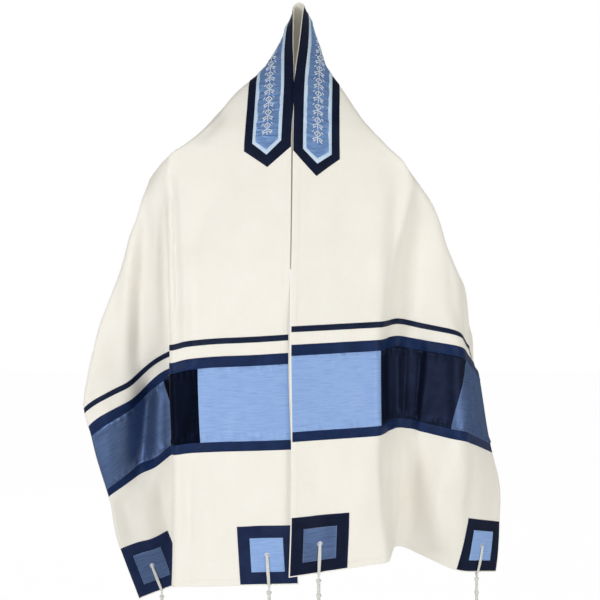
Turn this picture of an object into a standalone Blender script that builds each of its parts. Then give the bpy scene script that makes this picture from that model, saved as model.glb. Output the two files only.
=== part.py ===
"""A prayer shawl (tallit) as it hangs when worn: one long cloth over neck and shoulders.

Units are metres, +Z is up, -Y is the front and the origin lies between the shoulders.
A point of the cloth is named by its place in the flat cut: along, the distance from the
neck centre towards one end, and across, the distance from the neck edge to the lower edge.
The drape walks outwards from the neck edge at each section along the cloth: a front run,
a tuck that folds back beneath it, a side run, and what is left falls behind.
"""
import math

import bpy
import numpy as np

# The flat cut
CUT_WIDTH = 0.508           # across, neck edge to lower edge
HALF_LENGTH = 1.020         # along, neck centre to one end
WALL = 0.0014               # the woven cloth
PATCH = 0.0010              # a sewn-on piece
SEAM_GAP = 0.0003           # air between sewn layers
BUTT_GAP = 0.0006           # air between pieces that lie edge to edge

# Sewn pieces, by their place in the cut
EDGE_MARGIN = 0.0020        # cloth that shows beside a sewn piece
NARROW_STRIPE = (0.599, 0.609)
UPPER_STRIP = (0.630, 0.649)
PANELS = (0.649, 0.776)
LOWER_STRIP = (0.776, 0.793)
PANEL_SEAMS = (0.158, 0.332)            # light to dark, dark to mid blue, across
CORNER_SIZE = 0.098
INSET_MARGIN = 0.0205       # from a corner square's edge to the square inset on it
EYELET_RADIUS = 0.0038
EYELET_BORDER = 0.0034
EYELET_CELL = 0.006         # half the side of the cell that an eyelet is cut in
NECKBAND = (EDGE_MARGIN, 0.081)
PIPING = (0.0175, 0.067)                # outer edges of the piping frame, across
PIPING_WIDTH = 0.0065

# The neck arch and the tassels
PEAK = (0.0085, -0.045, 0.240)
ARCH_RADIUS = 0.010
OFF_CENTRE = 0.007          # the cloth sits this far off the arch's top
CORD_HALF = 0.0011          # half the thickness of the doubled threads through an eyelet
CORD_CLEAR = 0.0028         # from the cloth's faces to the middle of those threads
LOOP_STEPS = 5
HEM_CLEAR = 0.002           # how far below the hem the threads turn in to the head
HEAD_DROP = 0.011
HEAD_LENGTH = 0.100
HEAD_RADIUS = 0.0026
KNOT_SWELL = 0.0014
KNOTS = 5
STRANDS = 8                 # one for each side of the head
STRAND_LENGTH = 0.200
STRAND_RADIUS = 0.0011
STRAND_SEGMENTS = 8
STRAND_START = 0.006        # below the head's end, where a strand is first free
STRAND_SPREAD = (0.0050, 0.0070)        # off the head's axis: at once, and more by the end
STRAND_WAVE = 0.0012
STRAND_SWAY = 0.0016
STRAND_UNEVEN = 0.008       # how much longer or shorter than the rest

LEFT, RIGHT = -1, 1
DEGREE = math.radians(1)
CLOSE = 1e-6                # lines of the cut nearer than this are the same
RING_SIDES = 8              # of an eyelet and of a tassel's head
RING_ANGLES = [(k + 0.5) * 360 / RING_SIDES * DEGREE for k in range(RING_SIDES)]
STRAND_CORNERS = ((-1, 0), (0.5, 0.87), (0.5, -0.87))

# The neckband is sewn on a little towards the right half.
# Along, on each half: shoulders and point of the arrow end.
NECKBAND_END = {LEFT: (0.284, 0.315), RIGHT: (0.304, 0.342)}
PIPING_END = {LEFT: (0.272, 0.294), RIGHT: (0.2985, 0.320)}

# One row for each section of a half. Lengths are in metres, headings in degrees:
# yaw 0 points outwards, 90 to the back; dip is how steeply the run falls.
COLUMNS = ("along", "edge_x", "edge_y", "front", "tuck", "side",
           "front_yaw", "tuck_yaw", "side_yaw", "back_yaw",
           "front_dip", "tuck_dip", "side_dip", "back_dip", "roundness")
SECTIONS = {
    LEFT: (
        (0.000, 0.0000, 0.000, 0.050, 0.000, 0.115, 90, 90, 90, 90, 28, 28, 48, 86, 0.070),
        (0.045, 0.0000, -.016, 0.022, 0.000, 0.125, 50, 80, 80, 85, 14, 16, 28, 84, 0.060),
        (0.090, 0.0000, -.034, 0.036, 0.000, 0.140, 34, 72, 73, 83, 10, 12, 16, 83, 0.055),
        (0.120, 0.0010, -.048, 0.053, 0.000, 0.145, 24, 66, 69, 81, 9, 10, 13, 82, 0.050),
        (0.160, 0.0018, -.063, 0.097, 0.000, 0.135, 12, 60, 65, 79, 9, 10, 14, 82, 0.045),
        (0.200, 0.0006, -.074, 0.133, 0.000, 0.120, 9, 60, 61, 77, 9, 10, 17, 81, 0.042),
        (0.250, -.0015, -.083, 0.182, 0.000, 0.100, 7, 66, 57, 75, 7, 12, 21, 79, 0.040),
        (0.275, -.0025, -.085, 0.211, 0.000, 0.088, 7, 70, 50, 75, 5, 14, 26, 76, 0.036),
        (0.325, -.0030, -.086, 0.214, 0.016, 0.074, 7, 80, 30, 74, 4, 12, 32, 66, 0.030),
        (0.370, -.0035, -.086, 0.213, 0.034, 0.086, 7, 84, 18, 70, 3, 10, 34, 55, 0.025),
        (0.480, -.0050, -.085, 0.210, 0.062, 0.156, 7, 86, 12, 80, 3, 8, 33, 50, 0.020),
        (0.600, -.0063, -.078, 0.206, 0.098, 0.204, 7, 86, 10, 100, 4, 10, 34, 40, 0.020),
        (0.640, -.0063, -.078, 0.206, 0.106, 0.196, 7, 86, 10, 100, 4, 10, 37, 40, 0.020),
        (0.790, -.0015, -.078, 0.205, 0.144, 0.159, 7, 86, 8, 100, 3, 8, 34, 40, 0.020),
        (0.920, 0.0040, -.078, 0.210, 0.184, 0.114, 6, 84, 6, 100, 3, 13, 21, 40, 0.020),
        (1.020, 0.0100, -.078, 0.217, 0.216, 0.075, 6, 84, 4, 100, 3, 15, 22, 40, 0.020),
    ),
    RIGHT: (
        (0.000, 0.0000, 0.000, 0.050, 0.000, 0.115, 90, 90, 90, 90, 28, 28, 48, 86, 0.070),
        (0.045, -.0050, -.016, 0.026, 0.000, 0.125, 50, 80, 80, 85, 14, 16, 28, 84, 0.060),
        (0.090, -.0090, -.034, 0.038, 0.000, 0.140, 34, 72, 73, 83, 11, 14, 22, 83, 0.055),
        (0.120, -.0120, -.048, 0.047, 0.000, 0.145, 26, 68, 70, 81, 13, 16, 26, 82, 0.050),
        (0.160, -.0165, -.063, 0.081, 0.000, 0.138, 14, 62, 66, 79, 15, 20, 32, 82, 0.045),
        (0.200, -.0185, -.074, 0.114, 0.000, 0.126, 9, 60, 62, 77, 16, 21, 35, 81, 0.042),
        (0.250, -.0200, -.083, 0.166, 0.000, 0.108, 7, 64, 57, 75, 14, 20, 36, 79, 0.040),
        (0.275, -.0205, -.085, 0.192, 0.000, 0.096, 7, 68, 52, 75, 12, 20, 37, 76, 0.036),
        (0.325, -.0210, -.086, 0.206, 0.012, 0.066, 7, 70, 34, 74, 8, 16, 36, 68, 0.030),
        (0.370, -.0215, -.086, 0.200, 0.028, 0.062, 7, 68, 16, 72, 5, 12, 32, 54, 0.030),
        (0.480, -.0230, -.085, 0.176, 0.050, 0.092, 7, 66, -4, 72, -1, 1, 21, 34, 0.030),
        (0.600, -.0250, -.085, 0.156, 0.066, 0.100, 7, 62, -20, 72, -3, -4, 11, 22, 0.030),
        (0.640, -.0250, -.085, 0.152, 0.070, 0.103, 8, 60, -24, 70, -3, -4, 8, 16, 0.030),
        (0.790, -.0235, -.085, 0.150, 0.078, 0.104, 8, 60, -24, 62, -3, -5, 10, 14, 0.030),
        (0.920, -.0245, -.085, 0.160, 0.108, 0.112, 7, 74, -4, 44, -4, -2, 20, 12, 0.030),
        (1.020, -.0275, -.085, 0.170, 0.116, 0.126, 6, 79, 8, 34, -7, -2, 26, 8, 0.030),
    ),
}
FOLD_HALF_WIDTH = 0.012     # cloth that bends at the front fold, each side of it


def corner_lines(first):
    """The lines of a corner square that starts at first: its edges, its inset's and the eyelet's cell."""
    last = first + CORNER_SIZE
    middle = (first + last) / 2
    return (first, first + INSET_MARGIN, middle - EYELET_CELL, middle + EYELET_CELL, last - INSET_MARGIN, last)


# Grid lines of the cloth: a zone round the neck, one with the bands, one at the hem.
ALONG_FINE, ACROSS_FINE = 1021, 255
ZONES = (
    ((0, .006, .012, .018, .026, .038, .055, .077, .10, .125, .15, .18, .21, .24, .262, .284, .304, .326, .350),
     (0, EDGE_MARGIN, .0175, .024, .042, .0605, .067, .081, .105, .135, .165, .188, .207, .226, .248, .272, .298,
      .325, .352, .380, .410, .450, CUT_WIDTH)),
    ((.350, .38, .415, .455, .50, .55, .599, .609, .630, .649, .681, .712, .744, .776, .793, .84, .888),
     (0, EDGE_MARGIN, .042, .081, .12, .158, .178, .192, .202, .212, .222, .24, .262, .285, .308, .332, .352, .374,
      .396, .420, .445, .468, .488, CUT_WIDTH - EDGE_MARGIN, CUT_WIDTH)),
    ((.888, *corner_lines(HALF_LENGTH - EDGE_MARGIN - CORNER_SIZE), HALF_LENGTH),
     (0, *corner_lines(EDGE_MARGIN), .13, .158, .18, .20, .212, .224, .25, .29, .33, .37,
      *corner_lines(CUT_WIDTH - EDGE_MARGIN - CORNER_SIZE), CUT_WIDTH)),
)

COLOURS = {
    "cream_cloth": (0.86, 0.83, 0.74, 0.80),
    "navy_satin": (0.016, 0.032, 0.085, 0.45),
    "midnight_satin": (0.006, 0.010, 0.028, 0.40),
    "slate_blue_silk": (0.115, 0.18, 0.34, 0.40),
    "sky_blue_silk": (0.36, 0.52, 0.80, 0.45),
    "pale_piping": (0.50, 0.68, 0.86, 0.50),
    "white_thread": (0.88, 0.88, 0.87, 0.70),
}


def ease(share):
    """Smooth step from 0 to 1."""
    share = np.clip(share, 0, 1)
    return share * share * (3 - 2 * share)


def between_rows(xs, ys, x, level_start):
    """A curve through a table's column that never overshoots its rows."""
    step, rise = np.diff(xs), np.diff(ys) / np.diff(xs)
    slope = np.zeros(len(ys))
    for i in range(1, len(xs) - 1):
        if rise[i - 1] * rise[i] > 0:
            near, far = 2 * step[i] + step[i - 1], step[i] + 2 * step[i - 1]
            slope[i] = (near + far) / (near / rise[i - 1] + far / rise[i])
    slope[0] = 0 if level_start else rise[0]
    slope[-1] = rise[-1]
    i = np.clip(np.searchsorted(xs, x) - 1, 0, len(step) - 1)
    t = (x - xs[i]) / step[i]
    return ((2 * t**3 - 3 * t**2 + 1) * ys[i] + (t**3 - 2 * t**2 + t) * step[i] * slope[i]
            + (3 * t**2 - 2 * t**3) * ys[i + 1] + (t**3 - t**2) * step[i] * slope[i + 1])


class Half:
    """One half of the draped cloth, from the neck centre to one end, as a fine grid."""

    def __init__(self, side):
        self.side = side
        rows = np.array(SECTIONS[side], float)
        self.along = np.linspace(0, HALF_LENGTH, ALONG_FINE)
        self.across = np.linspace(0, CUT_WIDTH, ACROSS_FINE)
        self.column = {
            name: between_rows(rows[:, 0], rows[:, i], self.along, not name.endswith("yaw"))
            for i, name in enumerate(COLUMNS) if i
        }
        self.points = self.neck_edge()[:, None] + self.walk_outwards()
        along_step = np.gradient(self.points, self.along, axis=0) * side
        across_step = np.gradient(self.points, self.across, axis=1)
        normals = np.cross(along_step, across_step)
        self.normals = normals / np.linalg.norm(normals, axis=2, keepdims=True)

    def neck_edge(self):
        """The neck edge: over the arch, down the collar and down the front."""
        past_top = self.along - self.side * OFF_CENTRE
        turn = np.minimum(past_top / ARCH_RADIUS, math.pi / 2)
        x = PEAK[0] + self.side * ARCH_RADIUS * np.sin(turn) + self.column["edge_x"]
        y = PEAK[1] + self.column["edge_y"]
        fall = -np.sqrt(np.clip(1 - np.gradient(x, self.along)**2 - np.gradient(y, self.along)**2, 0, 1))
        fall[past_top < 0] *= -1
        start = PEAK[2] - ARCH_RADIUS * (1 - math.cos(OFF_CENTRE / ARCH_RADIUS))
        steps = (fall[1:] + fall[:-1]) / 2 * np.diff(self.along)
        return np.stack([x, y, start + np.concatenate(([0], np.cumsum(steps)))], 1)

    def walk_outwards(self):
        """How far each point lies from the neck edge of its section."""
        col = {name: values[:, None] for name, values in self.column.items()}
        across = self.across[None, :]
        tuck_at = col["front"]
        side_at = tuck_at + col["tuck"]
        back_at = side_at + col["side"]
        fold = np.minimum(FOLD_HALF_WIDTH, 0.5 * col["tuck"] + 0.004)
        bend = col["roundness"]

        def heading(kind):
            """The yaw or the dip at every place, eased from run to run."""
            front, tuck, side, back = (col[f"{run}_{kind}"] for run in ("front", "tuck", "side", "back"))
            return DEGREE * (front + (tuck - front) * ease((across - tuck_at + fold) / (2 * fold))
                             + (side - tuck) * ease((across - side_at + bend) / (2 * bend))
                             + (back - side) * ease((across - back_at + bend) / (2 * bend)))

        yaw, dip = heading("yaw"), heading("dip")
        way = np.stack([self.side * np.cos(yaw) * np.cos(dip), np.sin(yaw) * np.cos(dip), -np.sin(dip)], 2)
        steps = (way[:, 1:] + way[:, :-1]) / 2 * (self.across[1] - self.across[0])
        return np.concatenate([np.zeros((len(self.along), 1, 3)), np.cumsum(steps, 1)], 1)

    def at(self, along, across):
        """The point and the outward normal at a place of the cut."""
        i = min(max(along, 0) / HALF_LENGTH, 1) * (ALONG_FINE - 1)
        j = min(max(across, 0) / CUT_WIDTH, 1) * (ACROSS_FINE - 1)
        i0, j0 = min(int(i), ALONG_FINE - 2), min(int(j), ACROSS_FINE - 2)
        s, t = i - i0, j - j0
        point, normal = ((1 - s) * (1 - t) * grid[i0, j0] + s * (1 - t) * grid[i0 + 1, j0]
                         + (1 - s) * t * grid[i0, j0 + 1] + s * t * grid[i0 + 1, j0 + 1]
                         for grid in (self.points, self.normals))
        return point, normal / np.linalg.norm(normal)


HALVES = {side: Half(side) for side in (LEFT, RIGHT)}
NODES = {}


def node(side, along, across):
    """The point and normal of the cloth at a crossing of its grid lines."""
    key = (side if along else 0, along, across)
    if key not in NODES:
        ends = [HALVES[half].at(along, across) for half in ((side,) if along else (LEFT, RIGHT))]
        normal = sum(end[1] for end in ends)
        NODES[key] = (sum(end[0] for end in ends) / len(ends), normal / np.linalg.norm(normal))
    return NODES[key]


def zone_of(along):
    """The zone whose grid covers a distance along the cloth."""
    return next((zone for zone in ZONES if along < zone[0][-1] - CLOSE), ZONES[-1])


def on_cloth(place, lift=0.0):
    """A place (signed along, across) of the cut, in space, lifted off the cloth's middle.

    It lies on the flat triangles between the grid's crossings, so that layers never meet."""
    side, along, across = (RIGHT if place[0] >= 0 else LEFT), abs(place[0]), place[1]
    us, vs = zone_of(along)
    i = min(int(np.searchsorted(us, along + CLOSE, "right")) - 1, len(us) - 2)
    j = min(int(np.searchsorted(vs, across + CLOSE, "right")) - 1, len(vs) - 2)
    s, t = (along - us[i]) / (us[i + 1] - us[i]), (across - vs[j]) / (vs[j + 1] - vs[j])
    near, out, back, far = (
        point + lift * normal
        for point, normal in (node(side, us[i + a], vs[j + b]) for a, b in ((0, 0), (1, 0), (0, 1), (1, 1))))
    if side == RIGHT:
        if s >= t:
            return near + s * (out - near) + t * (far - out)
        return near + t * (back - near) + s * (far - back)
    if s + t <= 1:
        return near + s * (out - near) + t * (back - near)
    return far + (1 - s) * (back - far) + (1 - t) * (out - far)


def material(name):
    """One Principled material for each finish."""
    found = bpy.data.materials.get(name)
    if found:
        return found
    red, green, blue, roughness = COLOURS[name]
    made = bpy.data.materials.new(name)
    made.use_nodes = True
    shader = made.node_tree.nodes["Principled BSDF"]
    shader.inputs["Base Color"].default_value = (red, green, blue, 1)
    shader.inputs["Roughness"].default_value = roughness
    made.diffuse_color = (red, green, blue, 1)
    return made


def add_object(name, points, faces, finish):
    """A mesh object from plain points and faces, shaded smooth but for its sharp edges."""
    mesh = bpy.data.meshes.new(name)
    mesh.from_pydata([tuple(float(c) for c in p) for p in points], [], faces)
    mesh.validate()
    mesh.materials.append(material(finish))
    mesh.shade_smooth()
    mesh.set_sharp_from_angle(angle=40 * DEGREE)
    made = bpy.data.objects.new(name, mesh)
    bpy.context.scene.collection.objects.link(made)
    return made


def sewn_wall(name, cells, low, high, finish):
    """A wall over cells of the cut, from lift low to lift high, closed at its edges.

    cells are polygons of places, turning the same way as along to across."""
    index, points, faces, sides = {}, [], [], {}
    for cell in cells:
        for place in cell:
            key = (round(place[0], 6), round(place[1], 6))
            if key not in index:
                index[key] = len(points) // 2
                points += [on_cloth(place, low), on_cloth(place, high)]
    for cell in cells:
        ring = [index[(round(a, 6), round(b, 6))] for a, b in cell]
        for i, j in zip(ring[1:], ring[2:]):
            faces += [[2 * ring[0] + 1, 2 * i + 1, 2 * j + 1], [2 * ring[0], 2 * j, 2 * i]]
        for i, j in zip(ring, ring[1:] + ring[:1]):
            if (j, i) in sides:
                del sides[(j, i)]
            else:
                sides[(i, j)] = True
    faces += [[2 * i + 1, 2 * i, 2 * j, 2 * j + 1] for i, j in sides]
    return add_object(name, points, faces, finish)


def eyelet_places(centre, radius):
    """Places round an eyelet, starting beside the corner of its cell."""
    return [(centre[0] + radius * math.cos(angle), centre[1] + radius * math.sin(angle)) for angle in RING_ANGLES]


def pierced_cell(low, high, centre):
    """A rectangular cell of the cut with an eight-sided hole."""
    ring = eyelet_places(centre, EYELET_RADIUS)
    corner = [(high[0], low[1]), (high[0], high[1]), (low[0], high[1]), (low[0], low[1])]
    cells = []
    for k in range(4):
        a, b = corner[k], corner[(k + 1) % 4]
        cells.append([a, b, ring[2 * k], ring[(2 * k - 1) % RING_SIDES]])
        cells.append([b, ring[2 * k + 1], ring[2 * k]])
    return cells


def corner_square(number):
    """Low and high place (unsigned) of the front or the side corner square."""
    first = EDGE_MARGIN if number == 0 else CUT_WIDTH - EDGE_MARGIN - CORNER_SIZE
    start = HALF_LENGTH - EDGE_MARGIN - CORNER_SIZE
    return (start, first), (start + CORNER_SIZE, first + CORNER_SIZE)


def eyelet_centre(number):
    """The middle of a corner square (unsigned)."""
    low, high = corner_square(number)
    return (low[0] + high[0]) / 2, (low[1] + high[1]) / 2


def lines_within(lines, low, high):
    """The grid lines inside a range, with its two ends."""
    inside = [x for x in lines if low + CLOSE < x < high - CLOSE]
    return [low, *inside, high]


def grid_cells(side, along, across, holes=()):
    """The cells of one half in a rectangle of the cut, on the cloth's own grid lines."""
    zone = zone_of((along[0] + along[1]) / 2)
    us, vs = lines_within(zone[0], *along), lines_within(zone[1], *across)
    cells = []
    for u0, u1 in zip(us, us[1:]):
        for v0, v1 in zip(vs, vs[1:]):
            hole = next((h for h in holes if u0 < h[0] < u1 and v0 < h[1] < v1), None)
            if hole:
                cells += pierced_cell((u0, v0), (u1, v1), hole)
            else:
                cells.append([(u0, v0), (u1, v0), (u1, v1), (u0, v1)])
    return [signed(cell, side) for cell in cells]


def signed(cell, side):
    """A cell on its half. The left half is the mirror of the cut, so its cells turn round."""
    if side == RIGHT:
        return list(cell)
    return [(-along, across) for along, across in reversed(cell)]


def share_border(cells, border, across_lines):
    """Adds to each cell the places of a zone border that lie on its edge.

    The cell then starts at a corner off that border, so that it splits well from there."""
    def on_border(place):
        """Whether a place lies on the zone border."""
        return abs(abs(place[0]) - border) < CLOSE

    shared = []
    for cell in cells:
        if any(on_border(place) for place in cell):
            start = next(i for i, place in enumerate(cell) if not on_border(place))
            cell = cell[start:] + cell[:start]
        ring = []
        for here, there in zip(cell, cell[1:] + cell[:1]):
            ring.append(here)
            if on_border(here) and on_border(there):
                low, high = sorted((here[1], there[1]))
                extra = [(here[0], v) for v in across_lines if low + CLOSE < v < high - CLOSE]
                ring += extra if there[1] > here[1] else extra[::-1]
        shared.append(ring)
    return shared


def build_cloth():
    """The whole cloth as one wall, with a hole at each eyelet."""
    holes = [eyelet_centre(number) for number in (0, 1)]
    cells = []
    for side in (LEFT, RIGHT):
        for zone in ZONES:
            cells += grid_cells(side, (zone[0][0], zone[0][-1]), (0, CUT_WIDTH), holes)
    for first, second in zip(ZONES, ZONES[1:]):
        cells = share_border(cells, first[0][-1], sorted({*first[1], *second[1]}))
    sewn_wall("shawl_cloth", cells, -WALL / 2, WALL / 2, "cream_cloth")


def layer(number):
    """Low and high lift of a sewn layer; layer 0 lies on the cloth."""
    low = WALL / 2 + SEAM_GAP + number * (PATCH + SEAM_GAP)
    return low, low + PATCH


def arrow_tip(side, across, end):
    """Triangles from the shoulders of a band's arrow end to its point."""
    shoulder, point = end
    fan = [(shoulder, v) for v in lines_within(ZONES[0][1], *across)]
    tip = (point, sum(across) / 2)
    return [signed([a, tip, b], side) for a, b in zip(fan, fan[1:])]


def straight_cells(side, along, across):
    """The cells of a straight stretch of a band from the neck centre outwards."""
    us, vs = lines_within(ZONES[0][0], 0, along), lines_within(ZONES[0][1], *across)
    return [signed([(u0, v0), (u1, v0), (u1, v1), (u0, v1)], side)
            for u0, u1 in zip(us, us[1:]) for v0, v1 in zip(vs, vs[1:])]


def arrow_band(across, ends):
    """Cells of a band round the neck whose two ends are arrow points."""
    cells = []
    for side in (LEFT, RIGHT):
        cells += straight_cells(side, ends[side][0], across) + arrow_tip(side, across, ends[side])
    return cells


def arrow_frame(across, ends, inner_across, inner_ends):
    """Cells of the frame between such a band and the smaller one inside it."""
    cells = []
    middle = sum(across) / 2
    near, far = inner_across
    for side in (LEFT, RIGHT):
        shoulder, point = ends[side]
        inner_shoulder, inner_point = inner_ends[side]
        for strip in ((across[0], near), (far, across[1])):
            cells += straight_cells(side, inner_shoulder, strip)
        cells += [signed(cell, side) for cell in (
            [(inner_shoulder, across[0]), (shoulder, across[0]), (inner_shoulder, near)],
            [(shoulder, across[0]), (point, middle), (inner_point, middle), (inner_shoulder, near)],
            [(point, middle), (shoulder, across[1]), (inner_shoulder, far), (inner_point, middle)],
            [(shoulder, across[1]), (inner_shoulder, across[1]), (inner_shoulder, far)],
        )]
    return cells


def build_neckband():
    """The neckband: a navy band, a piping frame on it and a silk panel within the frame."""
    trim = BUTT_GAP / 2
    inner = (PIPING[0] + PIPING_WIDTH, PIPING[1] - PIPING_WIDTH)
    inner_ends = {side: (shoulder - PIPING_WIDTH / 2, point - PIPING_WIDTH * 1.5)
                  for side, (shoulder, point) in PIPING_END.items()}
    panel_ends = {side: (shoulder - trim, point - 2 * trim) for side, (shoulder, point) in inner_ends.items()}
    sewn_wall("neckband", arrow_band(NECKBAND, NECKBAND_END), *layer(0), "navy_satin")
    frame = arrow_frame(PIPING, PIPING_END, inner, inner_ends)
    sewn_wall("neckband_piping", frame, *layer(1), "pale_piping")
    sewn_wall("neckband_panel", arrow_band((inner[0] + trim, inner[1] - trim), panel_ends),
              *layer(1), "slate_blue_silk")


def build_bands(side, word):
    """The narrow stripe, the two strips and the three panels across one end."""
    whole = (EDGE_MARGIN, CUT_WIDTH - EDGE_MARGIN)
    half_gap = BUTT_GAP / 2
    for name, along in (("narrow_stripe", NARROW_STRIPE), ("upper_strip", UPPER_STRIP), ("lower_strip", LOWER_STRIP)):
        trimmed = (along[0] + half_gap, along[1] - half_gap)
        sewn_wall(f"{name}_{word}", grid_cells(side, trimmed, whole), *layer(0), "navy_satin")
    seams = (EDGE_MARGIN, *PANEL_SEAMS, CUT_WIDTH - EDGE_MARGIN)
    finishes = (("light_panel", "sky_blue_silk"), ("dark_panel", "midnight_satin"), ("slate_panel", "slate_blue_silk"))
    for (name, finish), low, high in zip(finishes, seams, seams[1:]):
        trimmed = (PANELS[0] + half_gap, PANELS[1] - half_gap)
        cells = grid_cells(side, trimmed, (low + half_gap, high - half_gap))
        sewn_wall(f"{name}_{word}", cells, *layer(0), finish)


def build_corner(side, number, word):
    """A corner square, the smaller square inset on it and the eyelet's sewn border."""
    low, high = corner_square(number)
    centre = eyelet_centre(number)
    sewn_wall(f"corner_{word}", grid_cells(side, (low[0], high[0]), (low[1], high[1]), [centre]),
              *layer(0), "navy_satin")
    inset = [(low[k] + INSET_MARGIN, high[k] - INSET_MARGIN) for k in (0, 1)]
    finish = "sky_blue_silk" if (side == LEFT) == (number == 0) else "slate_blue_silk"
    sewn_wall(f"inset_{word}", grid_cells(side, *inset, [centre]), *layer(1), finish)
    hole, border = (eyelet_places(centre, EYELET_RADIUS + extra) for extra in (0, EYELET_BORDER))
    ring = []
    for k in range(RING_SIDES):
        n = (k + 1) % RING_SIDES
        ring.append(signed([hole[k], border[k], border[n], hole[n]], side))
    sewn_wall(f"eyelet_{word}", ring, *layer(2), finish)


def loop_route(side, number):
    """Middle line of the threads: up the front face, through the eyelet, down the back face."""
    centre = eyelet_centre(number)
    out = layer(2)[1] + CORD_CLEAR
    inside = -WALL / 2 - CORD_CLEAR
    down = np.linspace(centre[0], HALF_LENGTH + HEM_CLEAR, LOOP_STEPS)

    def face(lift):
        """The route on one face, from the eyelet down."""
        lifts = [0.8 * lift] + [lift] * (LOOP_STEPS - 1)
        return [on_cloth((side * along, centre[1]), here) for along, here in zip(down, lifts)]

    through = on_cloth((side * centre[0], centre[1]), (out + inside) / 2)
    return face(out)[::-1], through, face(inside)


def ring_offsets(beside, out):
    """Directions round a tassel's head, starting in front to one side."""
    return [math.cos(angle) * beside + math.sin(angle) * out for angle in RING_ANGLES]


def build_tassel(side, number, word):
    """A ritual fringe: threads looped through the eyelet, a knotted head and eight free strands."""
    front, middle, back = loop_route(side, number)
    hem = (side * HALF_LENGTH, eyelet_centre(number)[1])
    flat = (on_cloth(hem, 1) - on_cloth(hem)) * (1, 1, 0)
    out = flat / np.linalg.norm(flat)
    beside = np.cross(out, (0, 0, 1))
    down = np.array([0, 0, -1])
    top = (front[0] + back[-1]) / 2 + HEAD_DROP * down
    points, faces = [], []
    rings = 2 * KNOTS + 1
    for ring in range(rings):
        radius = HEAD_RADIUS + (0 if ring % 2 else KNOT_SWELL)
        centre = top + HEAD_LENGTH * ring / (rings - 1) * down
        points += [centre + radius * offset for offset in ring_offsets(beside, out)]
    for here in range(0, RING_SIDES * (rings - 1), RING_SIDES):
        below = here + RING_SIDES
        for k in range(RING_SIDES):
            n = (k + 1) % RING_SIDES
            faces.append([here + k, below + k, below + n, here + n])
    faces.append([0, 3, 4, 7])
    add_loop(points, faces, [*front, middle, *back], beside)
    add_strands(points, faces, RING_SIDES * (rings - 1), top + HEAD_LENGTH * down, beside, out)
    add_object(f"tassel_{word}", points, faces, "white_thread")


def add_loop(points, faces, route, beside):
    """A square-section sweep from the head's front quarter to its back quarter."""
    last = [0, 1, 2, 3]
    for i, centre in enumerate(route):
        ahead = route[min(i + 1, len(route) - 1)] - route[max(i - 1, 0)]
        ahead = ahead / np.linalg.norm(ahead)
        wide = beside - np.dot(beside, ahead) * ahead
        wide = wide / np.linalg.norm(wide)
        deep = np.cross(ahead, wide)
        base = len(points)
        points += [centre + CORD_HALF * (a * wide + b * deep) for a, b in ((1, -1), (1, 1), (-1, 1), (-1, -1))]
        here = [base, base + 1, base + 2, base + 3]
        faces += [[last[k], last[(k + 1) % 4], here[(k + 1) % 4], here[k]] for k in range(4)]
        last = here
    end = [7, 6, 5, 4]
    faces += [[last[k], last[(k + 1) % 4], end[(k + 1) % 4], end[k]] for k in range(4)]


def add_strands(points, faces, ring, centre, beside, out):
    """Three-sided strands that grow out of the head's end and spread as they fall."""
    hub = len(points)
    points.append(centre)
    for k in range(STRANDS):
        last = [hub, ring + (k + 1) % RING_SIDES, ring + k]
        angle = (k + 1) * 360 / RING_SIDES * DEGREE
        away = math.cos(angle) * beside + math.sin(angle) * out
        aside = -math.sin(angle) * beside + math.cos(angle) * out
        length = STRAND_LENGTH - STRAND_START + STRAND_UNEVEN * math.sin(2.4 * k)
        for i in range(1, STRAND_SEGMENTS + 1):
            share = i / STRAND_SEGMENTS
            spread = STRAND_SPREAD[0] + STRAND_SPREAD[1] * share + STRAND_WAVE * math.sin(2.1 * k + 7 * share)
            sway = STRAND_SWAY * math.sin(1.7 * k + 5 * share)
            fall = STRAND_START + length * (i - 1) / (STRAND_SEGMENTS - 1)
            middle = centre + away * spread + aside * sway - np.array([0, 0, fall])
            base = len(points)
            points += [middle + STRAND_RADIUS * (a * away + b * aside) for a, b in STRAND_CORNERS]
            here = [base, base + 1, base + 2]
            faces += [[last[j], last[(j + 1) % 3], here[(j + 1) % 3], here[j]] for j in range(3)]
            last = here
        faces.append([last[0], last[1], last[2]])


def clear_scene():
    """Removes what the file held before."""
    for old in list(bpy.data.objects):
        bpy.data.objects.remove(old, do_unlink=True)


def main():
    """Builds every sub-part."""
    clear_scene()
    build_cloth()
    build_neckband()
    for side, word in ((LEFT, "left"), (RIGHT, "right")):
        build_bands(side, word)
        for number, place in ((0, "front"), (1, "side")):
            build_corner(side, number, f"{place}_{word}")
            build_tassel(side, number, f"{place}_{word}")


main()
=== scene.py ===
"""The looks of a worn prayer shawl: draped cloth, sewn bands, embroidery and knotted tassels.

Metres throughout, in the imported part's frame: +Z is up and -Y is the front.
A place on the cloth is named by its flat cut. "along" runs from the neck centre to an end,
negative on the left half, and "across" runs from the neck edge to the lower edge.
"""

import logging
import math
from collections.abc import Callable, Iterable, Sequence
from dataclasses import dataclass, field
from enum import Enum

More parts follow.
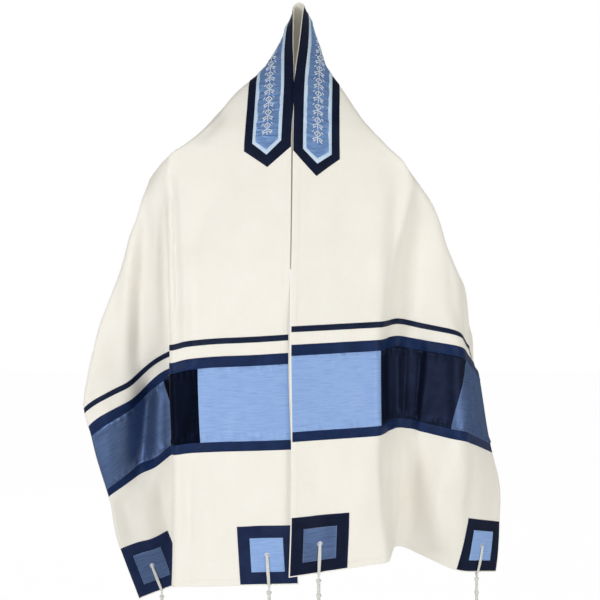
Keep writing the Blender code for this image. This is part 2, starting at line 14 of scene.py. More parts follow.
import bpy
import numpy as np
from bpy.types import Material, Mesh, Node, NodeSocket, NodeTree, Object
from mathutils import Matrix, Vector


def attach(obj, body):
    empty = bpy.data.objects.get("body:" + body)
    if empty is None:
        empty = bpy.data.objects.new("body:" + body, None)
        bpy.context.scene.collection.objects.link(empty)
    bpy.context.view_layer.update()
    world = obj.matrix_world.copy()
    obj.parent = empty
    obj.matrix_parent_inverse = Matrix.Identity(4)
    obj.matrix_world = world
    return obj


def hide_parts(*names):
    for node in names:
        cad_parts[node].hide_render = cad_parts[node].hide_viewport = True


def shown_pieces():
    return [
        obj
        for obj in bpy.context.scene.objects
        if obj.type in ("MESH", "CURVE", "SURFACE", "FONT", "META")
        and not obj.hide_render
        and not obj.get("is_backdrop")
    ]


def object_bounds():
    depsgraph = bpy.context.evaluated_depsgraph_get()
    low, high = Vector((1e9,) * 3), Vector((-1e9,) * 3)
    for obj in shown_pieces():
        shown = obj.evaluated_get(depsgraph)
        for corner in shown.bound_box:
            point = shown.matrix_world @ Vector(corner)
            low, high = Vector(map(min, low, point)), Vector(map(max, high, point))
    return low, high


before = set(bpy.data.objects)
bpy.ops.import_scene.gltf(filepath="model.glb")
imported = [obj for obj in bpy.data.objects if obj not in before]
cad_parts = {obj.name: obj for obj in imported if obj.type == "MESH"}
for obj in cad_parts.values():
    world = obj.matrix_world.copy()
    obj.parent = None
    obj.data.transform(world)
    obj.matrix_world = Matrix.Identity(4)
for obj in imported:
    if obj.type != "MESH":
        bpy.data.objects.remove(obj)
CAD_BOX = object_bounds()
LOG = logging.getLogger("prayer_shawl")
BODY = "root"
MM = 0.001
DEGREE = math.radians(1)
TURN = 2 * math.pi

Array = np.ndarray
Pair = tuple[float, float]
Triple = tuple[float, float, float]
Relief = Callable[[Array, Array], Array]  # gives the height at places along and across

# The flat cut. A pair is a span, along the cloth for the bands and across it for the seams.
CUT_WIDTH = 0.508
HALF_LENGTH = 1.020
EDGE_MARGIN = 2.0 * MM  # bare cloth outside the strips and squares
NARROW_STRIPE = (0.599, 0.609)
UPPER_STRIP = (0.630, 0.649)
PANELS = (0.649, 0.776)
LOWER_STRIP = (0.776, 0.793)
PANEL_SEAMS = (0.158, 0.332)
CORNER_SIZE = 98 * MM
INSET_MARGIN = 20.5 * MM
EYELET_RADIUS = 3.2 * MM
HEM_WIDTH = 13 * MM
HEM_SLOPE = 1.2 * MM  # over which the folded hem rises
FRONT_FOLD = (0.190, 0.230)  # across, where the cloth turns back beside the chest
ARCH_END = 0.030  # along, how far the tight turn over the neck reaches

# How the layers lie on each other
CLOTH_HALF = 0.45 * MM  # from the cloth's middle to either face
LAYER_LIFT = (0.60 * MM, 1.35 * MM, 2.05 * MM)  # the underside of each sewn layer
LAYER_THICK = 0.62 * MM
TURNED_EDGE = 0.9  # share of its thickness that a turned edge loses

# The neck arch, and the bend where the front turns back
PEAK = (0.0085, -0.045, 0.240)
ARCH_RADIUS = 10 * MM
OFF_CENTRE = 7 * MM  # how far the arch's top is from the neck centre along the cloth
FOLD_HALF_WIDTH = 12 * MM


class Side(Enum):
    """The half of the cloth that hangs over one shoulder; the value is its direction along X."""

    LEFT = -1
    RIGHT = 1

    @property
    def word(self) -> str:
        """The half's name as the part's nodes have it."""
        return self.name.lower()


class Corner(Enum):
    """A corner square: at the neck edge, or at the lower edge that hangs at the side."""

    FRONT = "front"
    SIDE = "side"

    def low(self) -> Pair:
        """Finds the square's low corner on the cut.

        Returns:
            Its unsigned place along and its place across.
        """
        start = HALF_LENGTH - EDGE_MARGIN - CORNER_SIZE
        first = EDGE_MARGIN if self is Corner.FRONT else CUT_WIDTH - EDGE_MARGIN - CORNER_SIZE
        return start, first

    def centre(self) -> Pair:
        """The middle of the square, unsigned, where the eyelet is."""
        start, first = self.low()
        return start + CORNER_SIZE / 2, first + CORNER_SIZE / 2


# The neckband is sewn on a little towards the right half.
# Along, on each half: shoulders and point of the arrow end.
NECKBAND_END = {Side.LEFT: (0.284, 0.315), Side.RIGHT: (0.304, 0.342)}
PIPING_END = {Side.LEFT: (0.272, 0.294), Side.RIGHT: (0.2985, 0.320)}


# ---------------- the drape

# One row for each section of a half. It says where the neck edge is, how long the cloth's
# runs are from there (front, tuck beside the chest, side, and the rest is the back), how each
# run heads, and how softly it bends into the next. Lengths are in metres, headings in
# degrees: yaw 0 points outwards and 90 to the back, and dip is how steeply the run falls.
COLUMNS = ("along", "edge_x", "edge_y", "front", "tuck", "side",
           "front_yaw", "tuck_yaw", "side_yaw", "back_yaw",
           "front_dip", "tuck_dip", "side_dip", "back_dip", "roundness")
SECTIONS = {
    Side.LEFT: (
        (0.000, 0.0000, 0.000, 0.050, 0.000, 0.115, 90, 90, 90, 90, 28, 28, 48, 86, 0.070),
        (0.045, 0.0000, -.016, 0.022, 0.000, 0.125, 50, 80, 80, 85, 14, 16, 28, 84, 0.060),
        (0.090, 0.0000, -.034, 0.036, 0.000, 0.140, 34, 72, 73, 83, 10, 12, 16, 83, 0.055),
        (0.120, 0.0010, -.048, 0.053, 0.000, 0.145, 24, 66, 69, 81, 9, 10, 13, 82, 0.050),
        (0.160, 0.0018, -.063, 0.097, 0.000, 0.135, 12, 60, 65, 79, 9, 10, 14, 82, 0.045),
        (0.200, 0.0006, -.074, 0.133, 0.000, 0.120, 9, 60, 61, 77, 9, 10, 17, 81, 0.042),
        (0.250, -.0015, -.083, 0.182, 0.000, 0.100, 7, 66, 57, 75, 7, 12, 21, 79, 0.040),
        (0.275, -.0025, -.085, 0.211, 0.000, 0.088, 7, 70, 50, 75, 5, 14, 26, 76, 0.036),
        (0.325, -.0030, -.086, 0.214, 0.016, 0.074, 7, 80, 30, 74, 4, 12, 32, 66, 0.030),
        (0.370, -.0035, -.086, 0.213, 0.034, 0.086, 7, 84, 18, 70, 3, 10, 34, 55, 0.025),
        (0.480, -.0050, -.085, 0.210, 0.062, 0.156, 7, 86, 12, 80, 3, 8, 33, 50, 0.020),
        (0.600, -.0063, -.078, 0.206, 0.098, 0.204, 7, 86, 10, 100, 4, 10, 34, 40, 0.020),
        (0.640, -.0063, -.078, 0.206, 0.106, 0.196, 7, 86, 10, 100, 4, 10, 37, 40, 0.020),
        (0.790, -.0015, -.078, 0.205, 0.144, 0.159, 7, 86, 8, 100, 3, 8, 34, 40, 0.020),
        (0.920, 0.0040, -.078, 0.210, 0.184, 0.114, 6, 84, 6, 100, 3, 13, 21, 40, 0.020),
        (1.020, 0.0100, -.078, 0.217, 0.216, 0.075, 6, 84, 4, 100, 3, 15, 22, 40, 0.020),
    ),
    Side.RIGHT: (
        (0.000, 0.0000, 0.000, 0.050, 0.000, 0.115, 90, 90, 90, 90, 28, 28, 48, 86, 0.070),
        (0.045, -.0050, -.016, 0.026, 0.000, 0.125, 50, 80, 80, 85, 14, 16, 28, 84, 0.060),
        (0.090, -.0090, -.034, 0.038, 0.000, 0.140, 34, 72, 73, 83, 11, 14, 22, 83, 0.055),
        (0.120, -.0120, -.048, 0.047, 0.000, 0.145, 26, 68, 70, 81, 13, 16, 26, 82, 0.050),
        (0.160, -.0165, -.063, 0.081, 0.000, 0.138, 14, 62, 66, 79, 15, 20, 32, 82, 0.045),
        (0.200, -.0185, -.074, 0.114, 0.000, 0.126, 9, 60, 62, 77, 16, 21, 35, 81, 0.042),
        (0.250, -.0200, -.083, 0.166, 0.000, 0.108, 7, 64, 57, 75, 14, 20, 36, 79, 0.040),
        (0.275, -.0205, -.085, 0.192, 0.000, 0.096, 7, 68, 52, 75, 12, 20, 37, 76, 0.036),
        (0.325, -.0210, -.086, 0.206, 0.012, 0.066, 7, 70, 34, 74, 8, 16, 36, 68, 0.030),
        (0.370, -.0215, -.086, 0.200, 0.028, 0.062, 7, 68, 16, 72, 5, 12, 32, 54, 0.030),
        (0.480, -.0230, -.085, 0.176, 0.050, 0.092, 7, 66, -4, 72, -1, 1, 21, 34, 0.030),
        (0.600, -.0250, -.085, 0.156, 0.066, 0.100, 7, 62, -20, 72, -3, -4, 11, 22, 0.030),
        (0.640, -.0250, -.085, 0.152, 0.070, 0.103, 8, 60, -24, 70, -3, -4, 8, 16, 0.030),
        (0.790, -.0235, -.085, 0.150, 0.078, 0.104, 8, 60, -24, 62, -3, -5, 10, 14, 0.030),
        (0.920, -.0245, -.085, 0.160, 0.108, 0.112, 7, 74, -4, 44, -4, -2, 20, 12, 0.030),
        (1.020, -.0275, -.085, 0.170, 0.116, 0.126, 6, 79, 8, 34, -7, -2, 26, 8, 0.030),
    ),
}


def ease(share: Array) -> Array:
    """Smooth step from 0 to 1."""
    share = np.clip(share, 0, 1)
    return share * share * (3 - 2 * share)


def between_rows(xs: Array, ys: Array, x: Array, level_start: bool) -> Array:
    """A curve through a table's column that never overshoots its rows.

    Args:
        xs: the rows' places.
        ys: the rows' values.
        x: where the curve is wanted.
        level_start: whether the curve starts level.

    Returns:
        The curve's values at x.
    """
    step, rise = np.diff(xs), np.diff(ys) / np.diff(xs)
    slope = np.zeros(len(ys))
    for i in range(1, len(xs) - 1):
        if rise[i - 1] * rise[i] > 0:
            near, far = 2 * step[i] + step[i - 1], step[i] + 2 * step[i - 1]
            slope[i] = (near + far) / (near / rise[i - 1] + far / rise[i])
    slope[0] = 0 if level_start else rise[0]
    slope[-1] = rise[-1]
    i = np.clip(np.searchsorted(xs, x) - 1, 0, len(step) - 1)
    t = (x - xs[i]) / step[i]
    return ((2 * t**3 - 3 * t**2 + 1) * ys[i] + (t**3 - 2 * t**2 + t) * step[i] * slope[i]
            + (3 * t**2 - 2 * t**3) * ys[i + 1] + (t**3 - t**2) * step[i] * slope[i + 1])


@dataclass
class Half:
    """One half of the draped cloth as a fine grid of points and outward normals."""

    side: Side
    steps_along: int = 1021
    steps_across: int = 509
    overhang: float = 0.004  # share of the width that a lap may pass the neck edge by
    fold_spare: float = 0.004  # metres, the least half width of the bend where the front turns back
    along: Array = field(init=False)
    across: Array = field(init=False)
    column: dict[str, Array] = field(init=False)
    points: Array = field(init=False)
    normals: Array = field(init=False)

    def __post_init__(self) -> None:
        """Walks the cloth outwards from its neck edge at every section."""
        rows = np.array(SECTIONS[self.side], float)
        self.along = np.linspace(0, HALF_LENGTH, self.steps_along)
        self.across = np.linspace(0, CUT_WIDTH, self.steps_across)
        self.column = {
            name: between_rows(rows[:, 0], rows[:, i], self.along, not name.endswith("yaw"))
            for i, name in enumerate(COLUMNS) if i
        }
        self.points = self.neck_edge()[:, None] + self.walk_outwards()
        along_step = np.gradient(self.points, self.along, axis=0) * self.side.value
        across_step = np.gradient(self.points, self.across, axis=1)
        normals = np.cross(along_step, across_step)
        self.normals = normals / np.linalg.norm(normals, axis=2, keepdims=True)

    def neck_edge(self) -> Array:
        """The neck edge: over the arch, down the collar and down the front.

        Returns:
            One point for each section.
        """
        way = self.side.value
        past_top = self.along - way * OFF_CENTRE
        turn = np.minimum(past_top / ARCH_RADIUS, math.pi / 2)
        x = PEAK[0] + way * ARCH_RADIUS * np.sin(turn) + self.column["edge_x"]
        y = PEAK[1] + self.column["edge_y"]
        fall = -np.sqrt(np.clip(1 - np.gradient(x, self.along)**2 - np.gradient(y, self.along)**2, 0, 1))
        fall[past_top < 0] *= -1
        start = PEAK[2] - ARCH_RADIUS * (1 - math.cos(OFF_CENTRE / ARCH_RADIUS))
        steps = (fall[1:] + fall[:-1]) / 2 * np.diff(self.along)
        return np.stack([x, y, start + np.concatenate(([0], np.cumsum(steps)))], 1)

    def walk_outwards(self) -> Array:
        """Follows each section's headings from the neck edge to the lower edge.

        Returns:
            How far each point lies from the neck edge of its section.
        """
        col = {name: values[:, None] for name, values in self.column.items()}
        across = self.across[None, :]
        tuck_at = col["front"]
        side_at = tuck_at + col["tuck"]
        back_at = side_at + col["side"]
        fold = np.minimum(FOLD_HALF_WIDTH, 0.5 * col["tuck"] + self.fold_spare)
        bend = col["roundness"]

        def heading(kind: str) -> Array:
            """One heading at every point.

            Args:
                kind: yaw or dip.

            Returns:
                The heading in radians.
            """
            front, tuck, side, back = (col[f"{run}_{kind}"] for run in ("front", "tuck", "side", "back"))
            return DEGREE * (front + (tuck - front) * ease((across - tuck_at + fold) / (2 * fold))
                             + (side - tuck) * ease((across - side_at + bend) / (2 * bend))
                             + (back - side) * ease((across - back_at + bend) / (2 * bend)))

        yaw, dip = heading("yaw"), heading("dip")
        outwards = self.side.value * np.cos(yaw) * np.cos(dip)
        way = np.stack([outwards, np.sin(yaw) * np.cos(dip), -np.sin(dip)], 2)
        steps = (way[:, 1:] + way[:, :-1]) / 2 * (self.across[1] - self.across[0])
        return np.concatenate([np.zeros((len(self.along), 1, 3)), np.cumsum(steps, 1)], 1)

    def sample(self, along: Array, across: Array) -> tuple[Array, Array]:
        """Blends between the grid's points and normals.

        Args:
            along: unsigned places along.
            across: places across.

        Returns:
            The points and the unit normals at those places.
        """
        i = np.clip(along / HALF_LENGTH, 0, 1) * (self.steps_along - 1)
        j = np.clip(across / CUT_WIDTH, -self.overhang, 1) * (self.steps_across - 1)
        i0 = np.minimum(i.astype(int), self.steps_along - 2)
        j0 = np.clip(j.astype(int), 0, self.steps_across - 2)
        s, t = (i - i0)[..., None], (j - j0)[..., None]
        point, normal = ((1 - s) * (1 - t) * g[i0, j0] + s * (1 - t) * g[i0 + 1, j0]
                         + (1 - s) * t * g[i0, j0 + 1] + s * t * g[i0 + 1, j0 + 1]
                         for g in (self.points, self.normals))
        return point, normal / np.linalg.norm(normal, axis=-1, keepdims=True)


# Creases listed on the cut: signed along and across of both ends, then the half width
# and the height in millimetres, positive for a ridge. They fade out towards their ends. The
# deepest is the trough where the left slate panel is folded in, which gives it its dark band.
CREASES = (
    # from_along, from_across, to_along, to_across, half_width, height
    # left shoulder and breast
    (-0.240, 0.214, -0.650, 0.193, 12, -12.0),
    (-0.300, 0.246, -0.600, 0.330, 15, 10.0),
    (-0.290, 0.272, -0.640, 0.392, 14, -11.0),
    (-0.320, 0.304, -0.620, 0.418, 17, 8.5),
    (-0.330, 0.135, -0.480, 0.182, 20, -6.5),
    (-0.440, 0.168, -0.640, 0.160, 12, -5.0),
    (-0.300, 0.090, -0.560, 0.060, 34, 5.6),
    (-0.470, 0.182, -0.655, 0.179, 5, 2.2),
    (-0.450, 0.173, -0.655, 0.169, 4, -2.0),
    (-0.560, 0.160, -0.655, 0.158, 4, 1.4),
    (-0.180, 0.118, -0.260, 0.170, 14, -6.0),
    # left bands
    (-0.582, 0.352, -0.825, 0.448, 28, -42.0),
    (-0.580, 0.306, -0.840, 0.366, 26, -9.0),
    (-0.560, 0.455, -0.800, 0.488, 16, 4.0),
    (-0.655, 0.120, -0.790, 0.116, 26, -1.3),
    (-0.660, 0.055, -0.780, 0.052, 20, 1.0),
    # left hem
    (-0.790, 0.180, -0.985, 0.186, 7, -6.5),
    (-0.790, 0.150, -1.000, 0.146, 20, 4.6),
    (-0.800, 0.070, -0.990, 0.052, 24, -3.4),
    (-0.800, 0.430, -0.980, 0.445, 18, 6.1),
    (-0.800, 0.395, -1.000, 0.412, 12, -6.8),
    (-0.800, 0.486, -0.930, 0.470, 12, -4.9),
    # right breast and sleeve
    (0.270, 0.190, 0.600, 0.168, 13, -5.7),
    (0.300, 0.160, 0.560, 0.140, 16, 4.2),
    (0.350, 0.100, 0.600, 0.095, 24, -3.4),
    (0.400, 0.300, 0.620, 0.330, 18, -6.1),
    (0.380, 0.360, 0.640, 0.400, 22, 6.5),
    # right bands
    (0.600, 0.232, 0.820, 0.228, 9, 6.8),
    (0.600, 0.256, 0.830, 0.252, 9, -8.4),
    (0.600, 0.196, 0.830, 0.190, 12, -6.1),
    (0.640, 0.352, 0.790, 0.366, 12, 4.6),
    (0.640, 0.396, 0.790, 0.404, 12, -5.7),
    (0.655, 0.128, 0.780, 0.126, 18, -3.0),
    # right hem
    (0.780, 0.172, 1.010, 0.164, 14, -5.5),
    (0.780, 0.222, 1.015, 0.262, 14, 8.7),
    (0.790, 0.258, 1.015, 0.318, 14, -6.0),
    (0.800, 0.310, 1.010, 0.372, 18, 6.8),
    (0.800, 0.398, 0.930, 0.404, 16, -4.9),
    (0.800, 0.130, 1.000, 0.118, 18, 4.2),
    (0.800, 0.040, 0.990, 0.062, 20, -3.0),
    # shoulders and back
    (-0.150, 0.260, -0.060, 0.480, 26, -7.6),
    (-0.090, 0.220, -0.020, 0.490, 24, 8.4),
    (0.070, 0.230, 0.040, 0.500, 22, -8.0),
    (0.170, 0.280, 0.130, 0.490, 26, 7.6),
    (-0.200, 0.300, -0.240, 0.480, 20, 5.7),
    (0.230, 0.260, 0.260, 0.470, 20, -5.7),
)

# Where the cloth has settled lower or higher than the plain drape has it, which curves the
# stripes: centre along and across, reach along and across, and the shift in millimetres,
# positive for lower.
SLIPS = (
    (-0.67, 0.340, 0.17, 0.034, -5.5),
    (-0.67, 0.402, 0.17, 0.022, 3.0),
    (-0.67, 0.485, 0.17, 0.050, -8.5),
    (-0.66, 0.204, 0.15, 0.018, 4.5),
    (-0.66, 0.130, 0.15, 0.050, -2.0),
    (0.70, 0.218, 0.16, 0.022, -3.0),
    (0.90, 0.250, 0.10, 0.050, -2.0),
)

# The same for places that have moved outwards, which slants the seam of the right slate panel.
SIDE_SLIPS = (
    (0.640, 0.345, 0.06, 0.060, 20.0),
    (0.790, 0.325, 0.07, 0.060, -16.0),
)


NOISE_CELLS = (97, 89)  # how many cells the noise has before it repeats


def value_noise(x: Array, y: Array, seed: int) -> Array:
    """Smooth noise from -1 to 1, for whatever is a little uneven in cloth made by hand.

    Args:
        x: places in cells, one way.
        y: places in cells, the other way.
        seed: a number of its own for each layer.

    Returns:
        The noise at each place, the same on every run.
    """
    wide, high = NOISE_CELLS
    knots = np.random.default_rng(seed).uniform(-1, 1, NOISE_CELLS)
    xi, yi = np.floor(x).astype(int), np.floor(y).astype(int)
    s, t = ease(x - xi), ease(y - yi)
    near, far = (knots[xi % wide, (yi + b) % high] * (1 - s) + knots[(xi + 1) % wide, (yi + b) % high] * s
                 for b in (0, 1))
    return near * (1 - t) + far * t


@dataclass
class DrapedCloth:
    """The draped surface with its soft creases, for every layer that is sewn to it."""

    halves: dict[Side, Half] = field(default_factory=lambda: {side: Half(side) for side in Side})
    long_fold: Triple = (0.160, 0.034, 0.0011)  # cell along, cell across, height
    ripple: Triple = (0.050, 0.019, 0.00035)
    crease_fade: float = 0.35  # share of a crease's length over which it comes and goes
    calm_from: float = 0.10  # along: the cloth hangs evenly up to here, over the neck
    calm_over: float = 0.12  # and is fully uneven this much further on
    end_hold: float = 0.08  # how near to the ends and to the edges nothing slips
    edge_hold: float = 0.05

    def relief(self, along: Array, across: Array) -> Array:
        """Adds up the creases and the cloth's uneven hang.

        Args:
            along: signed places along.
            across: places across.

        Returns:
            The height over the plain drape at each place.
        """
        height = np.zeros(along.shape)
        for u0, v0, u1, v1, half_width, rise in CREASES:
            du, dv = u1 - u0, v1 - v0
            share = ((along - u0) * du + (across - v0) * dv) / (du * du + dv * dv)
            off = ((along - u0) * dv - (across - v0) * du) / math.hypot(du, dv)
            fade = ease(share / self.crease_fade) * ease((1 - share) / self.crease_fade)
            height += rise * MM * fade * np.exp(-(off / (half_width * MM))**2)
        uneven = ease((np.abs(along) - self.calm_from) / self.calm_over)
        for seed, (cell_along, cell_across, rise) in enumerate((self.long_fold, self.ripple)):
            height += uneven * rise * value_noise(along / cell_along + 31, across / cell_across + 7, seed)
        return height

    def slipped(self, slips: Sequence[tuple[float, ...]], along: Array, across: Array) -> Array:
        """Adds up a table of slips.

        Args:
            slips: rows of centre along and across, reach along and across, and shift.
            along: signed places along.
            across: places across.

        Returns:
            How far each place has moved.
        """
        shift = np.zeros(along.shape)
        for u, v, reach_along, reach_across, moved in slips:
            shift += moved * MM * np.exp(-((along - u) / reach_along)**2 - ((across - v) / reach_across)**2)
        return shift

    def settled(self, along: Array, across: Array) -> tuple[Array, Array]:
        """Finds where on the plain drape a place lies once the cloth has settled.

        Args:
            along: signed places along.
            across: places across.

        Returns:
            Unsigned places along, and places across.
        """
        lower = self.slipped(SLIPS, along, across) * ease((HALF_LENGTH - np.abs(along)) / self.end_hold)
        outer = (self.slipped(SIDE_SLIPS, along, across) * ease((CUT_WIDTH - across) / self.edge_hold)
                 * ease(across / self.edge_hold))
        return np.abs(along) + lower, across + outer

    def place(self, along: Array, across: Array, lift: Array | float) -> Array:
        """Where signed places of the cut lie in space.

        Args:
            along: signed places along.
            across: places across.
            lift: how far off the cloth's middle, outwards.

        Returns:
            Points in the part's frame, one for each place.
        """
        along, across = np.asarray(along, float), np.asarray(across, float)
        reached = self.settled(along, across)
        ends = {side: self.halves[side].sample(*reached) for side in Side}
        right = (along > 0)[..., None]
        at_neck = (along == 0)[..., None]
        point = np.where(right, ends[Side.RIGHT][0], ends[Side.LEFT][0])
        normal = np.where(right, ends[Side.RIGHT][1], ends[Side.LEFT][1])
        normal = np.where(at_neck, (ends[Side.RIGHT][1] + ends[Side.LEFT][1]) / 2, normal)
        height = self.relief(along, across) + lift
        return point + height[..., None] * normal

    def spot(self, along: float, across: float, lift: float) -> Array:
        """Where one place lies in space."""
        return self.place(np.array([along]), np.array([across]), lift)[0]


# ---------------- finishes


def linear(hex_colour: str) -> tuple[float, float, float, float]:
    """An sRGB hex colour as linear RGBA."""
    parts = [int(hex_colour[i:i + 2], 16) / 255 for i in (1, 3, 5)]
    return (*[p / 12.92 if p <= 0.04045 else ((p + 0.055) / 1.055)**2.4 for p in parts], 1.0)


def add_node(tree: NodeTree, kind: str, settings: dict | None = None, links: dict | None = None) -> Node:
    """Adds a node, sets its properties and sockets and links its inputs.

    Args:
        tree: the node tree.
        kind: the node's type name.
        settings: attributes of the node, or input names with their values.
        links: input names or numbers with the output sockets that feed them.

    Returns:
        The new node.
    """
    made = tree.nodes.new(kind)
    for name, value in (settings or {}).items():
        if isinstance(name, str) and hasattr(made, name):
            setattr(made, name, value)
        else:
            made.inputs[name].default_value = value
    for name, source in (links or {}).items():
        tree.links.new(source, made.inputs[name])
    return made


def reckon(tree: NodeTree, operation: str, *values: NodeSocket | float) -> NodeSocket:
    """Adds one step of arithmetic.

    Args:
        tree: the node tree.
        operation: the math node's operation.
        values: its inputs in order, each a socket or a number.

    Returns:
        The result.
    """
    step = add_node(tree, "ShaderNodeMath", {"operation": operation})
    for number, value in enumerate(values):
        if isinstance(value, float):
            step.inputs[number].default_value = value
        else:
            tree.links.new(value, step.inputs[number])
    return step.outputs[0]


@dataclass(frozen=True)
class Finish:
    """A material's name, colours and the settings of its shader."""

    name: str
    slot: str
    colour: str
    # For silk with crumple, shade is also the colour that the painted shade in its fold hollows reaches
    shade: str  # the colour of its darker yarns
    roughness: float
    sheen: float = 0.0
    sheen_colour: str = "#ffffff"
    specular: float = 0.5
    gloss_colour: str = "#ffffff"  # dyed satin floats tint what they reflect
    lustre: float = 0.0  # share of light that dyed silk sends back as tinted gloss
    sheen_spread: float = 0.45
    bump_mm: float = 0.05

    def weave(self, tree: NodeTree) -> tuple[NodeSocket, NodeSocket]:
        """The tone, from 0 for the shade to 1 for the colour, and the height of the yarns."""
        raise NotImplementedError

    def material(self) -> Material:
        """Makes the material and gives it its weave.

        Returns:
            The material.
        """
        made = bpy.data.materials.new(self.name)
        made.use_nodes = True
        made.diffuse_color = linear(self.colour)
        tree = made.node_tree
        shader = tree.nodes["Principled BSDF"]
        for name, value in (("Roughness", self.roughness), ("Specular IOR Level", self.specular),
                            ("Sheen Weight", self.sheen), ("Sheen Roughness", self.sheen_spread),
                            ("Sheen Tint", linear(self.sheen_colour)), ("Metallic", self.lustre),
                            ("Specular Tint", linear(self.gloss_colour))):
            shader.inputs[name].default_value = value
        tone, height = self.weave(tree)
        colour = add_node(tree, "ShaderNodeMix", {
            "data_type": "RGBA", 6: linear(self.shade), 7: linear(self.colour)}, {0: tone})
        bump = add_node(tree, "ShaderNodeBump", {"Strength": 1.0, "Distance": self.bump_mm * MM},
                        {"Height": height})
        tree.links.new(colour.outputs[2], shader.inputs["Base Color"])
        tree.links.new(bump.outputs["Normal"], shader.inputs["Normal"])
        return made


def threads(tree: NodeTree, along_mm: float, across_mm: float, detail: float = 2.0) -> NodeSocket:
    """Streaks of thread on the piece's cut.

    Args:
        tree: the material's node tree.
        along_mm: the length of a noise cell along the cloth.
        across_mm: its length across the cloth.
        detail: how many finer layers the noise has.

    Returns:
        The noise, about 0.5 on average.
    """
    place = add_node(tree, "ShaderNodeUVMap", {"uv_map": "cut"}).outputs["UV"]
    scaled = add_node(tree, "ShaderNodeMapping", {"Scale": (1000 / along_mm, 1000 / across_mm, 1)},
                      {"Vector": place}).outputs["Vector"]
    return add_node(tree, "ShaderNodeTexNoise", {"Scale": 1.0, "Detail": detail, "Roughness": 0.55},
                    {"Vector": scaled}).outputs["Fac"]


def stretched(tree: NodeTree, source: NodeSocket, low: float, high: float) -> NodeSocket:
    """The value, with low turned into 0 and high into 1."""
    return add_node(tree, "ShaderNodeMapRange", {"From Min": low, "From Max": high},
                    {"Value": source}).outputs["Result"]


@dataclass(frozen=True)
class PlainWeave(Finish):
    """Plain woven wool: matte, with slightly uneven yarns both ways."""

    yarn_mm: float = 0.9  # a real yarn is 0.4 mm, drawn this coarse so that it shows
    runs: Pair = (26, 22)  # how many yarns long a warp and a weft streak are
    cloud_mm: Pair = (60, 45)
    tones: Pair = (1.1, 1.9)

    def weave(self, tree: NodeTree) -> tuple[NodeSocket, NodeSocket]:
        """Crosses streaks, which tint the colour a little and raise the yarns.

        Args:
            tree: the material's node tree.

        Returns:
            The tone and the height.
        """
        warp = threads(tree, self.runs[0] * self.yarn_mm, self.yarn_mm)
        weft = threads(tree, self.yarn_mm, self.runs[1] * self.yarn_mm)
        both = reckon(tree, "ADD", warp, weft)
        cloudy = reckon(tree, "ADD", both, threads(tree, *self.cloud_mm))
        return stretched(tree, cloudy, *self.tones), both


@dataclass(frozen=True)
class SlubSilk(Finish):
    """Dupion silk: a satin ground with thick and thin weft yarns that run across the cloth."""

    slub_mm: Pair = (1.0, 42.0)  # real slubs are half as thick, drawn coarser to show
    slub_share: Pair = (1.7, 0.6)  # a broken slub's thickness and length against those
    warp_mm: Pair = (40, 2.2)
    warp_height: float = 0.25  # against the weft's
    slub_tones: Pair = (0.34, 0.50)
    weft_tones: Pair = (0.30, 0.58)
    bump_mm: float = 0.22
    crumple_mm: float = 0.0  # how high the short folds across the strip stand
    crumple_cell_mm: Pair = (6, 26)
    # painted shade: over this span of the fold noise, the low parts of the folds darken towards the shade colour
    fold_shade_tones: Pair = (0.36, 0.60)
    detail: float = 3.0

    def weave(self, tree: NodeTree) -> tuple[NodeSocket, NodeSocket]:
        """Draws fine weft lines with a few dark slubs, on a faint warp; with crumple, it also raises short folds and
        paints shade into their hollows.

        Args:
            tree: the material's node tree.

        Returns:
            The tone and the height.
        """
        fine = threads(tree, *self.slub_mm, self.detail)
        slubs = threads(tree, self.slub_share[0] * self.slub_mm[0], self.slub_share[1] * self.slub_mm[1])
        tone = reckon(tree, "MULTIPLY", stretched(tree, slubs, *self.slub_tones),
                      stretched(tree, fine, *self.weft_tones))
        height = reckon(tree, "MULTIPLY_ADD", threads(tree, *self.warp_mm), self.warp_height, fine)
        if self.crumple_mm:
            folds = threads(tree, *self.crumple_cell_mm, self.detail)
            height = reckon(tree, "MULTIPLY_ADD", folds, self.crumple_mm / self.bump_mm, height)
            # painted shade: the colour darkens in the folds' hollows
            tone = reckon(tree, "MULTIPLY", tone, stretched(tree, folds, *self.fold_shade_tones))
        return tone, height


@dataclass(frozen=True)
class Satin(Finish):
    """Polyester satin: smooth floats along the strip, soft gloss."""

    float_mm: Pair = (1.2, 30)  # real floats are a tenth as thick, drawn coarser to show
    cloud_mm: Pair = (30, 24)
    tones: Pair = (0.75, 1.25)
    bump_mm: float = 0.10

    def weave(self, tree: NodeTree) -> tuple[NodeSocket, NodeSocket]:
        """Draws long faint streaks along the strip and a cloudy change of tone.

        Args:
            tree: the material's node tree.

        Returns:
            The tone and the height.
        """
        floats = threads(tree, *self.float_mm)
        cloudy = reckon(tree, "ADD", floats, threads(tree, *self.cloud_mm))
        return stretched(tree, cloudy, *self.tones), floats


@dataclass(frozen=True)
class Thread(Finish):
    """Spun yarn or embroidery thread; its plies are modelled, so it needs only fine fibre."""

    fibre_mm: float = 0.8  # real fibre is far finer, drawn this coarse to show
    tones: Pair = (0.3, 0.6)

    def weave(self, tree: NodeTree) -> tuple[NodeSocket, NodeSocket]:
        """Draws fine noise in the object's own coordinates.

        Args:
            tree: the material's node tree.

        Returns:
            The tone and the height.
        """
        place = add_node(tree, "ShaderNodeTexCoord").outputs["Object"]
        fibre = add_node(tree, "ShaderNodeTexNoise", {"Scale": 1000 / self.fibre_mm, "Detail": 2.0},
                         {"Vector": place}).outputs["Fac"]
        return stretched(tree, fibre, *self.tones), fibre


def navy(name: str, colour: str, shade: str, specular: float = 0.10, roughness: float = 0.46) -> Satin:
    """One of the navy satins, which differ in their dye and how smooth their floats lie."""
    return Satin(name, "navy_satin", colour, shade, roughness, 0.02, "#8fa2cc", specular)


# Each finish is named for its real material, and its comment says what the making gives the eye.

